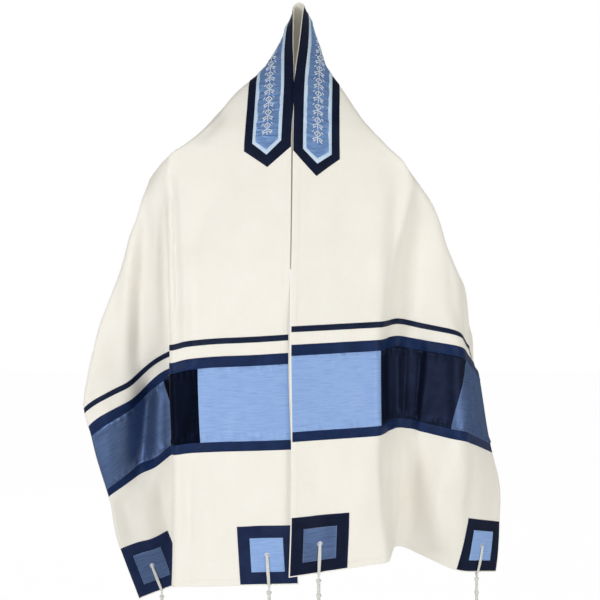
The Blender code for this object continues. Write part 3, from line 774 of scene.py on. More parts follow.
# Wool in plain weave: no gloss, only warp and weft crossing finely in a warm white.
CREAM_WOOL = PlainWeave("woven_wool_cream", "cream_cloth", "#f3f1eb", "#efece3", 0.85, 0.05, specular=0.12)

# Satin floats lie all one way, so navy strips keep one deep even colour with a soft, dim gloss.
NAVY_SATIN = navy("satin_navy", "#182d58", "#122346")
# Ribbon is woven denser, with shorter floats: a darker navy.
STRIPE_SATIN = navy("satin_ribbon_navy", "#15233f", "#101a30")
# Close to black, with the dimmest gloss of them all: the neckband's ground and the right half's corner squares.
DEEP_NAVY_SATIN = navy("satin_deep_navy", "#121c36", "#0c1428", 0.09)
# Smoother and a touch glossier than the strips beside it: the left half's corner squares, lighter than the right
# half's.
SQUARE_SATIN = navy("satin_navy_left_squares", "#1b2a4e", "#132040", 0.12, 0.42)

# Heavy satin with upright floats: it swallows light from the front and looks nearly black.
MIDNIGHT_SATIN = Satin("satin_midnight", "midnight_satin", "#0a0f1f", "#060912", 0.44, 0.0, "#8498c8", 0.14,
                       gloss_colour="#5f76b0", lustre=0.35)
# The same satin on the right end, with a lighter base colour as painted sheen for the light its folds catch from the
# side, and stronger gloss, so each fold glints grey-blue.
MIDNIGHT_SATIN_PAINTED_SHEEN = Satin("satin_midnight_painted_sheen", "midnight_satin", "#1a223a", "#121829", 0.46, 0.0, "#8498c8",
                     0.30, gloss_colour="#8c9cc4", lustre=0.45)

# Dupion silk from yarn-dyed threads: most of what it shows is tinted gloss, so hollows go dark
# and ridges glow, and its slubs draw short lines across.
SLATE_SILK = SlubSilk("dupion_silk_slate_blue", "slate_blue_silk", "#61769f", "#4b6189", 0.52, 0.0, "#c5d2ec",
                      0.50, gloss_colour="#b2c3e2", lustre=0.74)
# The same weave in a pale dye hides its gloss: an even light blue with fine slubs.
SKY_SILK = SlubSilk("dupion_silk_sky_blue", "sky_blue_silk", "#92b3e6", "#80a1d8", 0.42, 0.04, "#dfe9fb", 0.30)
# Satin-faced silk drawn in by embroidery: short bright folds across the band, their hollows darkened with painted
# shade.
NECK_SILK = SlubSilk("satin_silk_dusty_blue", "slate_blue_silk", "#84a6d6", "#6688be", 0.32, 0.0, "#e6eefc", 0.60,
                     gloss_colour="#c2d4f4", lustre=0.35, crumple_mm=4.0)
# Satin folded over a cord: a pale edge with a soft light line.
PIPING_SATIN = Satin("satin_piping_pale_blue", "pale_piping", "#d0e2f4", "#b8d0ea", 0.45, 0.05, "#ffffff", 0.30)

# Spun wool is hairy, so its twisted threads look matte and full.
TASSEL_WOOL = Thread("spun_wool_white", "white_thread", "#f4f4f2", "#dcdcd8", 0.75, 0.10, specular=0.2)
# Embroidery thread is hardly twisted and keeps a gloss along each stitch.
SILVER_THREAD = Thread("embroidery_thread_silver", "white_thread", "#e8f0fa", "#c6d4e8", 0.38, 0.05)
# Sewing threads are a shade off what they hold, lighter on navy and darker on cream, so that
# their rows show.
NAVY_THREAD = Thread("sewing_thread_blue", "navy_satin", "#2e4478", "#20305c", 0.5, specular=0.15)
PALE_THREAD = Thread("sewing_thread_pale_blue", "pale_piping", "#b4c8e6", "#8fa8cf", 0.5, specular=0.3)
CREAM_THREAD = Thread("sewing_thread_cream", "cream_cloth", "#ece8da", "#cfc9b6", 0.6, specular=0.2)
MADE: dict[str, Material] = {}


def material_of(finish: Finish) -> Material:
    """Makes a finish's material, once.

    Args:
        finish: the finish.

    Returns:
        Its material.
    """
    if finish.name not in MADE:
        MADE[finish.name] = finish.material()
    return MADE[finish.name]


# ---------------- meshes on the cloth


def add_piece(name: str, mesh: Mesh, finish: Finish) -> Object:
    """Puts a mesh in the scene, riding on the part's body.

    Args:
        name: the piece's name.
        mesh: its finished mesh.
        finish: what it is made of.

    Returns:
        The new object.
    """
    mesh.materials.clear()
    mesh.materials.append(material_of(finish))
    mesh.shade_smooth()
    made = bpy.data.objects.new(name, mesh)
    bpy.context.scene.collection.objects.link(made)
    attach(made, BODY)
    return made


def fill(stops: Iterable[float], step: float, whole: Sequence[Pair] = ()) -> Array:
    """Draws lines at the stops and evenly between them.

    Args:
        stops: where a line has to be.
        step: the widest gap between two lines.
        whole: spans that stay without a line inside.

    Returns:
        The lines in rising order.
    """
    tiny = 1e-6
    stops = sorted(stops)
    lines = [stops[0]]
    for low, high in zip(stops, stops[1:]):
        kept = any(low > a - tiny and high < b + tiny for a, b in whole)
        count = 1 if kept else max(1, math.ceil((high - low) / step - tiny))
        lines += [low + (high - low) * (k + 1) / count for k in range(count)]
    return np.array(lines)


@dataclass
class SewnShell:
    """A thin closed shell over a grid of places, with soft edges and round eyelet holes."""

    cloth: DrapedCloth
    name: str
    finish: Finish
    places: Array  # rows of (signed along, across)
    low: float
    high: float
    loop: bool = False  # the last row joins the first
    holes: Sequence[Pair] = ()
    extra: Relief | None = None
    soften: float = 0.5  # share of its thickness that a cut edge loses
    hole_sides: int = 20

    def build(self) -> Object:
        """Makes the shell's mesh, its map of the cut and its object.

        Returns:
            The finished object.
        """
        along, across = self.places[..., 0], self.places[..., 1]
        rim = np.zeros(along.shape, bool)
        rim[:, 0] = rim[:, -1] = True
        if not self.loop:
            rim[0] = rim[-1] = True
        drop = np.where(rim, self.soften * (self.high - self.low) / 2, 0)
        raised = self.extra(along, across) if self.extra else np.zeros_like(along)
        top = self.cloth.place(along, across, self.high - drop + raised).reshape(-1, 3)
        base = self.cloth.place(along, across, self.low + drop + np.minimum(raised, 0)).reshape(-1, 3)
        places = [*self.places.reshape(-1, 2), *self.places.reshape(-1, 2)]
        points = [*top, *base]
        holed = self.holed_cells(along, across)
        faces = self.cell_faces(holed) + self.edge_faces()
        for cell, centre in holed.items():
            self.pierce(points, places, faces, cell, centre)
        if along[-1, 0] < along[0, 0]:
            faces = [face[::-1] for face in faces]
        return self.object_of(points, places, faces)

    def cell_faces(self, holed: dict[tuple[int, int], Pair]) -> list[list[int]]:
        """Fills the grid's cells on both sides of the shell.

        Args:
            holed: the cells that hold an eyelet, which stay open.

        Returns:
            The faces, as lists of point numbers.
        """
        rows, columns = self.places.shape[:2]
        count = rows * columns
        faces = []
        for i in range(rows if self.loop else rows - 1):
            n = (i + 1) % rows
            for j in range(columns - 1):
                if (i, j) not in holed:
                    ring = [i * columns + j, n * columns + j, n * columns + j + 1, i * columns + j + 1]
                    faces += [ring, [count + k for k in reversed(ring)]]
        return faces

    def edge_faces(self) -> list[list[int]]:
        """Closes the shell along its open edges.

        Returns:
            The faces, as lists of point numbers.
        """
        rows, columns = self.places.shape[:2]
        count, last = rows * columns, rows if self.loop else rows - 1
        edges = [(i * columns, (i + 1) % rows * columns) for i in range(last)]
        edges += [((i + 1) % rows * columns + columns - 1, i * columns + columns - 1) for i in range(last)]
        if not self.loop:
            edges += [(j + 1, j) for j in range(columns - 1)]
            edges += [((rows - 1) * columns + j, (rows - 1) * columns + j + 1) for j in range(columns - 1)]
        return [[a, count + a, count + b, b] for a, b in edges]

    def holed_cells(self, along: Array, across: Array) -> dict[tuple[int, int], Pair]:
        """Finds the grid cells that hold an eyelet.

        Args:
            along: the grid's places along.
            across: the grid's places across.

        Returns:
            Each cell's row and column with its eyelet's centre.
        """
        way = np.sign(along[-1, 0] - along[0, 0])
        found = {}
        for centre in self.holes:
            i = int(np.sum((along[:, 0] - along[0, 0]) * way < (centre[0] - along[0, 0]) * way)) - 1
            j = int(np.sum(across[0] < centre[1])) - 1
            found[(i, j)] = centre
        return found

    def pierce(self, points: list, places: list, faces: list, cell: tuple[int, int], centre: Pair) -> None:
        """Fills one cell round its eyelet with a ring of faces on both sides and a wall between.

        Args:
            points: the shell's points, which grow.
            places: each point's place on the cut, which grow with them.
            faces: the shell's faces, which grow.
            cell: the cell's row and column.
            centre: the eyelet's centre on the cut.
        """
        rows, columns = self.places.shape[:2]
        first, count = cell[0] * columns + cell[1], rows * columns
        corners = [first, first + columns, first + columns + 1, first + 1]
        towards = np.array([places[c] for c in corners]) - centre
        towards /= np.linalg.norm(towards, axis=1, keepdims=True)
        start, sides = len(points), self.hole_sides
        spots, owners = [], []
        for k in range(sides):
            angle = TURN * (k + 0.5) / sides
            heading = np.array([math.cos(angle), math.sin(angle)])
            spots.append(centre + EYELET_RADIUS * heading)
            owners.append(corners[int(np.argmin(np.linalg.norm(towards - heading, axis=1)))])
        spots = np.array(spots)
        for lift in (self.high, self.low):
            points += list(self.cloth.place(spots[:, 0], spots[:, 1], lift))
            places += list(spots)
        way = 1 if places[corners[1]][0] > places[corners[0]][0] else -1
        for k in range(sides):
            n = (k + 1) % sides
            a, b = owners[k], owners[n]
            ring = ([start + k, a, start + n] if a == b else [start + k, a, b, start + n])[::way]
            lower = [p + (count if p < count else sides) for p in reversed(ring)]
            wall = [start + k, start + n, start + n + sides, start + k + sides][::way]
            faces += [ring, lower, wall]

    def object_of(self, points: list, places: list, faces: list) -> Object:
        """Turns points and faces into the piece.

        Args:
            points: the shell's points.
            places: each point's place on the cut, kept as a UV map in metres.
            faces: lists of point numbers.

        Returns:
            The mesh object.
        """
        mesh = bpy.data.meshes.new(self.name)
        mesh.from_pydata([tuple(map(float, p)) for p in points], [], faces)
        layer = mesh.uv_layers.new(name="cut")
        corner_vertex = np.zeros(len(mesh.loops), np.int32)
        mesh.loops.foreach_get("vertex_index", corner_vertex)
        layer.data.foreach_set("uv", np.array(places, np.float32)[corner_vertex].ravel())
        return add_piece(self.name, mesh, self.finish)


def sew_on(cloth: DrapedCloth, name: str, finish: Finish, places: Array, base: float, extra: Relief,
           share: float = 1, holes: Sequence[Pair] = ()) -> Object:
    """Sews a layer with turned edges on the cloth.

    Args:
        cloth: what it is sewn to.
        name: the piece's name.
        finish: what it is made of.
        places: its grid of places on the cut.
        base: how far its underside is off the cloth's middle.
        extra: its relief.
        share: its thickness against the usual.
        holes: the centres of its eyelets.

    Returns:
        The piece.
    """
    return SewnShell(cloth, name, finish, places, base, base + share * LAYER_THICK, holes=holes, extra=extra,
                     soften=TURNED_EDGE).build()


def grid(along: Array, across: Array) -> Array:
    """Every crossing of two sets of lines as rows of places."""
    return np.stack(np.meshgrid(along, across, indexing="ij"), -1)


def rimmed(low: float, high: float, rim: float = 0.6 * MM) -> list[float]:
    """The two ends of a span and a line just inside each, for a soft edge."""
    return [low, low + rim, high - rim, high]


# ---------------- thread and yarn by geometry nodes


class NodeTool:
    """A geometry node tree with named inputs, used on paths of edges and then turned into a mesh."""

    def __init__(self, name: str, inputs: dict[str, float | int]) -> None:
        """Starts the tree with its geometry sockets and one named input for each size.

        Args:
            name: the tree's name.
            inputs: each size's usual value, an int where only whole numbers make sense.
        """
        self.tree = bpy.data.node_groups.new(name, "GeometryNodeTree")
        face = self.tree.interface
        face.new_socket("Geometry", in_out="INPUT", socket_type="NodeSocketGeometry")
        face.new_socket("Geometry", in_out="OUTPUT", socket_type="NodeSocketGeometry")
        self.identifiers = {}
        for label, value in inputs.items():
            kind = "NodeSocketInt" if isinstance(value, int) else "NodeSocketFloat"
            socket = face.new_socket(label, in_out="INPUT", socket_type=kind)
            socket.default_value = value
            self.identifiers[label] = socket.identifier
        self.entry = add_node(self.tree, "NodeGroupInput")
        self.exit = add_node(self.tree, "NodeGroupOutput")

    def end(self, geometry: NodeSocket, finish: Finish) -> None:
        """Realizes the instances, sets the material and joins the output.

        Args:
            geometry: what the tree has made.
            finish: what it is made of.
        """
        real = add_node(self.tree, "GeometryNodeRealizeInstances", links={"Geometry": geometry})
        painted = add_node(self.tree, "GeometryNodeSetMaterial", {"Material": material_of(finish)},
                           {"Geometry": real.outputs[0]})
        self.tree.links.new(painted.outputs[0], self.exit.inputs[0])

    def even_paths(self, spacing: str) -> NodeSocket:
        """Turns the paths into curves with evenly spaced points.

        Args:
            spacing: the name of the input that says how far apart they are.

        Returns:
            The curves.
        """
        curve = add_node(self.tree, "GeometryNodeMeshToCurve", links={"Mesh": self.entry.outputs["Geometry"]})
        return add_node(self.tree, "GeometryNodeResampleCurve", {"mode": "LENGTH"},
                        {"Curve": curve.outputs[0], "Length": self.entry.outputs[spacing]}).outputs[0]

    def run(self, name: str, paths: Sequence[Array], finish: Finish, values: dict[str, float]) -> Object:
        """Runs the tree over open paths and keeps the result as a plain mesh.

        Args:
            name: the piece's name.
            paths: arrays of points in the part's frame.
            finish: what the piece is made of.
            values: sizes for the tree's named inputs.

        Returns:
            The finished object.
        """
        points = [tuple(map(float, p)) for path in paths for p in path]
        edges, start = [], 0
        for path in paths:
            edges += [(start + k, start + k + 1) for k in range(len(path) - 1)]
            start += len(path)
        mesh = bpy.data.meshes.new(name + "_path")
        mesh.from_pydata(points, edges, [])
        rough = bpy.data.objects.new(name + "_path", mesh)
        bpy.context.scene.collection.objects.link(rough)
        modifier = rough.modifiers.new("nodes", "NODES")
        modifier.node_group = self.tree
        for label, value in values.items():
            modifier[self.identifiers[label]] = value
        ready = rough.evaluated_get(bpy.context.evaluated_depsgraph_get())
        plain = bpy.data.meshes.new_from_object(ready)
        rough.modifiers.clear()
        bpy.data.objects.remove(rough)
        return add_piece(name, plain, finish)


def stitch_tool(finish: Finish) -> NodeTool:
    """A running stitch: short fat threads laid end to end along each path.

    Args:
        finish: the thread.

    Returns:
        The tool.
    """
    tool = NodeTool("running_stitch_" + finish.name, {
        "Spacing": 3.2 * MM, "Length": 2.2 * MM, "Thickness": 0.5 * MM, "Seed": 4})
    tree, entry = tool.tree, tool.entry
    one = add_node(tree, "GeometryNodeMeshUVSphere", {"Segments": 6, "Rings": 4, "Radius": 0.5})
    tangent = add_node(tree, "GeometryNodeInputTangent")
    turned = add_node(tree, "FunctionNodeAlignRotationToVector", {"axis": "X"}, {"Vector": tangent.outputs[0]})
    uneven = add_node(tree, "FunctionNodeRandomValue", {"data_type": "FLOAT", 2: 0.8, 3: 1.15},
                      {"Seed": entry.outputs["Seed"]})
    length = reckon(tree, "MULTIPLY", entry.outputs["Length"], uneven.outputs[1])
    size = add_node(tree, "ShaderNodeCombineXYZ", links={
        0: length, 1: entry.outputs["Thickness"], 2: entry.outputs["Thickness"]})
    laid = add_node(tree, "GeometryNodeInstanceOnPoints", links={
        "Points": tool.even_paths("Spacing"), "Instance": one.outputs[0], "Rotation": turned.outputs[0],
        "Scale": size.outputs[0]})
    tool.end(laid.outputs[0], finish)
    return tool


def yarn_tool(finish: Finish) -> NodeTool:
    """Twisted yarn: a few round plies that turn about the path.

    Args:
        finish: the yarn.

    Returns:
        The tool. Its Turns are for each metre.
    """
    tool = NodeTool("twisted_yarn_" + finish.name, {
        "Plies": 2, "Ply Radius": 0.42 * MM, "Spread": 0.36 * MM, "Turns": 200.0, "Step": 1.0 * MM,
        "Sides": 6})
    tree, entry = tool.tree, tool.entry
    where = add_node(tree, "GeometryNodeSplineParameter")
    turns = reckon(tree, "MULTIPLY", where.outputs["Length"], entry.outputs["Turns"])
    angle = reckon(tree, "MULTIPLY", turns, TURN)
    tilted = add_node(tree, "GeometryNodeSetCurveTilt", links={
        "Curve": tool.even_paths("Step"), "Tilt": angle})
    around = add_node(tree, "GeometryNodeCurvePrimitiveCircle", links={
        "Resolution": entry.outputs["Plies"], "Radius": entry.outputs["Spread"]})
    ply = add_node(tree, "GeometryNodeCurvePrimitiveCircle", links={
        "Resolution": entry.outputs["Sides"], "Radius": entry.outputs["Ply Radius"]})
    plies = add_node(tree, "GeometryNodeInstanceOnPoints", links={
        "Points": around.outputs[0], "Instance": ply.outputs[0]})
    profile = add_node(tree, "GeometryNodeRealizeInstances", links={"Geometry": plies.outputs[0]})
    swept = add_node(tree, "GeometryNodeCurveToMesh", {"Fill Caps": True},
                     {"Curve": tilted.outputs[0], "Profile Curve": profile.outputs[0]})
    tool.end(swept.outputs[0], finish)
    return tool


# ---------------- the sewn pieces


@dataclass
class ShawlCloth:
    """The cream cloth: one long shell with hems along every edge."""

    cloth: DrapedCloth
    step_along: float = 6 * MM
    step_across: float = 5 * MM
    arch_step: float = 2 * MM
    fold_step: float = 2.4 * MM
    rim: float = 0.7 * MM  # from a cut edge to the next line
    calm: float = 0.1  # along: a line where the neck's turn is over
    hem_rise: float = 0.28 * MM
    hem_pucker: float = 0.22 * MM
    pucker_reach: float = 7 * MM
    pucker_cell: Pair = (6 * MM, 20 * MM)
    end_hem: float = 0.03  # how near to the end the hem's puckers run across
    eyelet_cell: float = 6 * MM

    def cell_about(self, place: float) -> Pair:
        """The span that stays whole round an eyelet."""
        return place - self.eyelet_cell, place + self.eyelet_cell

    def lines(self) -> tuple[Array, Array]:
        """Lines of the cloth's grid, closer at the hems, the arch and the front fold.

        Returns:
            The lines along and the lines across.
        """
        cell = self.cell_about(Corner.FRONT.centre()[0])
        hem = HALF_LENGTH - HEM_WIDTH
        stops = [ARCH_END, self.calm, *cell, hem, hem + HEM_SLOPE, HALF_LENGTH - self.rim, HALF_LENGTH]
        half = np.concatenate([fill([0, ARCH_END], self.arch_step), fill(stops, self.step_along, [cell])[1:]])
        along = np.concatenate([-half[:0:-1], half])
        holes = [self.cell_about(corner.centre()[1]) for corner in Corner]
        low = [0, self.rim, HEM_WIDTH - HEM_SLOPE, HEM_WIDTH, *holes[0], FRONT_FOLD[0]]
        hem = CUT_WIDTH - HEM_WIDTH
        high = [FRONT_FOLD[1], *holes[1], hem, hem + HEM_SLOPE, CUT_WIDTH - self.rim, CUT_WIDTH]
        across = np.concatenate([fill(low, self.step_across, holes), fill(FRONT_FOLD, self.fold_step)[1:],
                                 fill(high, self.step_across, holes)[1:]])
        return along, across

    def hem(self, along: Array, across: Array) -> Array:
        """Folds the hem over, with its small puckers.

        Args:
            along: signed places along.
            across: places across.

        Returns:
            How much thicker the cloth is.
        """
        gap = np.minimum(np.minimum(across, CUT_WIDTH - across), HALF_LENGTH - np.abs(along))
        fold = ease((HEM_WIDTH - gap) / HEM_SLOPE) * self.hem_rise
        band = np.exp(-((gap - HEM_WIDTH) / self.pucker_reach)**2)
        run = np.where(HALF_LENGTH - np.abs(along) < self.end_hem, across, along)
        wide, long = self.pucker_cell
        return fold + self.hem_pucker * band * value_noise(run / wide, gap / long + 3, 5)

    def build(self) -> Object:
        """Makes the cloth, in place of the part's plain one.

        Returns:
            The cloth.
        """
        along, across = self.lines()
        holes = [(side.value * corner.centre()[0], corner.centre()[1]) for side in Side for corner in Corner]
        made = SewnShell(self.cloth, "cloth_cream", CREAM_WOOL, grid(along, across), -CLOTH_HALF, CLOTH_HALF,
                         holes=holes, extra=self.hem).build()
        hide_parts("shawl_cloth")
        return made


@dataclass
class EndBands:
    """The stripe, the two strips and the three silk panels across one end."""

    cloth: DrapedCloth
    side: Side
    strip_step: Pair = (4.5 * MM, 4 * MM)  # along and across
    panel_step: Pair = (3 * MM, 2.2 * MM)
    pucker: float = 2.3 * MM
    pucker_at: float = 3 * MM  # how far from its seam a gather stands highest
    pucker_reach: float = 9 * MM
    gathers: Pair = (4.2 * MM, 16 * MM)  # width and length
    slow_gathers: Pair = (9 * MM, 30 * MM)
    slow_share: float = 0.6
    fullness: float = 0.5  # how much more the gathers rise than sink
    bite: Pair = (1.5 * MM, 4 * MM)  # held flat at the strips, and at the sides
    crown: float = 0.45 * MM
    crown_reach: float = 0.02
    turned_under: float = 0.8 * MM  # of each panel, below the strips beside it
    seam_allowance: float = 1.5 * MM  # of the dark panel, under its neighbours
    sunk: Pair = (0.10 * MM, 0.35 * MM)  # how far panels lie under strips, and the dark one
    wave_height: float = 0.10 * MM
    wave_cell: Pair = (9 * MM, 12 * MM)  # across and along

    def wave(self, along: Array, across: Array) -> Array:
        """The slight unevenness of a stitched strip."""
        return self.wave_height * value_noise(across / self.wave_cell[0], along / self.wave_cell[1], 11)

    def strip(self, name: str, along: Pair, node: str, finish: Finish = NAVY_SATIN) -> Object:
        """Lays a turned-edge strip of satin across the whole cloth.

        Args:
            name: the piece's name.
            along: its two edges.
            node: the part's node that it replaces.
            finish: its satin.

        Returns:
            The strip.
        """
        lines = fill(rimmed(*along), self.strip_step[0]) * self.side.value
        across = fill([*rimmed(EDGE_MARGIN, CUT_WIDTH - EDGE_MARGIN), *FRONT_FOLD], self.strip_step[1])
        made = sew_on(self.cloth, name, finish, grid(lines, across), LAYER_LIFT[0], self.wave)
        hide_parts(node)
        return made

    def puckers(self, low: float, high: float) -> Relief:
        """Relief of a panel between two seams: gathered at them and a little full in the middle.

        Args:
            low: the panel's side nearer to the neck edge.
            high: its other side.

        Returns:
            A function that gives the height at places of the cut.
        """
        seed = 20 if self.side is Side.LEFT else 21

        def raised(along: Array, across: Array) -> Array:
            """Gathers the panel.

            Args:
                along: signed places along.
                across: places across.

            Returns:
                The height over the panel's underside.
            """
            near = np.minimum(np.abs(along) - PANELS[0], PANELS[1] - np.abs(along))
            edge = np.clip(np.minimum(across - low, high - across), 0, None)
            pull = np.exp(-((near - self.pucker_at) / self.pucker_reach)**2) * ease(near / self.bite[0])
            gather = value_noise(across / self.gathers[0], along / self.gathers[1], seed)
            gather += self.slow_share * value_noise(across / self.slow_gathers[0], along / self.slow_gathers[1],
                                                    seed + 2)
            full = self.crown * ease(near / self.crown_reach) * ease(edge / self.crown_reach)
            return np.clip(self.pucker * pull * (gather + self.fullness) * ease(edge / self.bite[1]), 0, None) + full

        return raised

    def panel(self, name: str, across: Pair, finish: Finish, node: str) -> Object:
        """Lays one silk panel, gathered at its seams with the strips.

        Args:
            name: the piece's name.
            across: its two sides.
            finish: its silk or satin.
            node: the part's node that it replaces.

        Returns:
            The panel.
        """
        lines = fill(rimmed(PANELS[0] - self.turned_under, PANELS[1] + self.turned_under), self.panel_step[0])
        under = finish in (MIDNIGHT_SATIN, MIDNIGHT_SATIN_PAINTED_SHEEN)
        tuck = -self.seam_allowance if under else 0.0
        low, high = across[0] + tuck, across[1] - tuck
        across_lines = fill(rimmed(low, high), self.panel_step[1])
        made = sew_on(self.cloth, name, finish, grid(lines * self.side.value, across_lines),
                      LAYER_LIFT[0] - self.sunk[under], self.puckers(low, high))
        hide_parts(node)
        return made

    def build(self) -> list[Object]:
        """Makes every sewn piece of this end.

        Returns:
            The stripe, the strips and the panels.
        """
        word = self.side.word
        made = [self.strip(f"stripe_narrow_{word}", NARROW_STRIPE, f"narrow_stripe_{word}", STRIPE_SATIN),
                self.strip(f"strip_upper_{word}", UPPER_STRIP, f"upper_strip_{word}"),
                self.strip(f"strip_lower_{word}", LOWER_STRIP, f"lower_strip_{word}")]
        seams = (EDGE_MARGIN, *PANEL_SEAMS, CUT_WIDTH - EDGE_MARGIN)
        # the right end's dark panel uses the copy whose lighter colour is painted sheen
        dark = MIDNIGHT_SATIN if self.side is Side.LEFT else MIDNIGHT_SATIN_PAINTED_SHEEN
        finishes = (("light", SKY_SILK), ("dark", dark), ("slate", SLATE_SILK))
        for (tone, finish), low, high in zip(finishes, seams, seams[1:]):
            made.append(self.panel(f"panel_{tone}_{word}", (low, high), finish, f"{tone}_panel_{word}"))
        return made


@dataclass
class CornerPiece:
    """A corner square with the smaller square on it and the eyelet's worked border."""

    cloth: DrapedCloth
    side: Side
    corner: Corner
    cell: float = 6 * MM
    step: float = 4 * MM
    wave_height: float = 0.16 * MM
    wave_cell: Pair = (8 * MM, 9 * MM)  # across and along
    rim_sides: int = 28
    # Rings of the eyelet's worked rim in millimetres: radius and height over the square
    rim_rings: tuple[Pair, ...] = ((3.1, 0.0), (3.5, 0.55), (4.3, 0.60), (4.9, 0.0))

    def inset_finish(self) -> Finish:
        """Sky blue and slate blue take turns round the four corners."""
        return SKY_SILK if (self.side is Side.LEFT) == (self.corner is Corner.FRONT) else SLATE_SILK

    def square(self, name: str, margin: float, layer: int, finish: Finish) -> Object:
        """Lays a square with its eyelet hole.

        Args:
            name: the piece's name.
            margin: how far inside the corner square its edges are.
            layer: 0 on the cloth, 1 on the corner square.
            finish: its satin or silk.

        Returns:
            The square.
        """
        start, first = self.corner.low()
        centre = self.corner.centre()
        spans = []
        for low, middle in ((start, centre[0]), (first, centre[1])):
            stops = [*rimmed(low + margin, low + CORNER_SIZE - margin), middle - self.cell, middle + self.cell]
            spans.append(fill(stops, self.step, [(middle - self.cell, middle + self.cell)]))

        def wave(along: Array, across: Array) -> Array:
            """The slight unevenness of a stitched square."""
            wide, long = self.wave_cell
            return self.wave_height * value_noise(across / wide, along / long, 13 + layer)

        return sew_on(self.cloth, name, finish, grid(spans[0] * self.side.value, spans[1]), LAYER_LIFT[layer],
                      wave, holes=[(self.side.value * centre[0], centre[1])])

    def eyelet(self, name: str, finish: Finish) -> Object:
        """Works a low round rim about the hole.

        Args:
            name: the piece's name.
            finish: its thread.

        Returns:
            The rim.
        """
        along, across = self.corner.centre()
        sides, count = self.rim_sides, len(self.rim_rings)
        points, faces = [], []
        lift = LAYER_LIFT[1] + LAYER_THICK
        for radius, rise in self.rim_rings:
            for k in range(sides):
                angle = TURN * k / sides
                points.append(self.cloth.spot(self.side.value * (along + radius * MM * math.cos(angle)),
                                              across + radius * MM * math.sin(angle), lift + rise * MM))
        for r in range(count):
            n = (r + 1) % count
            for k in range(sides):
                m = (k + 1) % sides
                ring = [r * sides + k, n * sides + k, n * sides + m, r * sides + m]
                faces.append(ring[::self.side.value])
        mesh = bpy.data.meshes.new(name)
        mesh.from_pydata([tuple(map(float, p)) for p in points], [], faces)
        return add_piece(name, mesh, finish)

    def build(self) -> list[Object]:
        """Makes both squares and the eyelet.

        Returns:
            The three pieces.
        """
        word = f"{self.corner.value}_{self.side.word}"
        ground = SQUARE_SATIN if self.side is Side.LEFT else DEEP_NAVY_SATIN
        silk = self.inset_finish()
        thread = Thread(f"buttonhole_thread_{word}", silk.slot, "#c9d9f0", silk.colour, 0.5)
        outer = self.square(f"square_{word}", 0, 0, ground)
        inner = self.square(f"square_inset_{word}", INSET_MARGIN, 1, silk)
        worked = self.eyelet(f"eyelet_worked_{word}", thread)
        for made, node in ((outer, "corner"), (inner, "inset"), (worked, "eyelet")):
            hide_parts(f"{node}_{word}")
        return [outer, inner, worked]


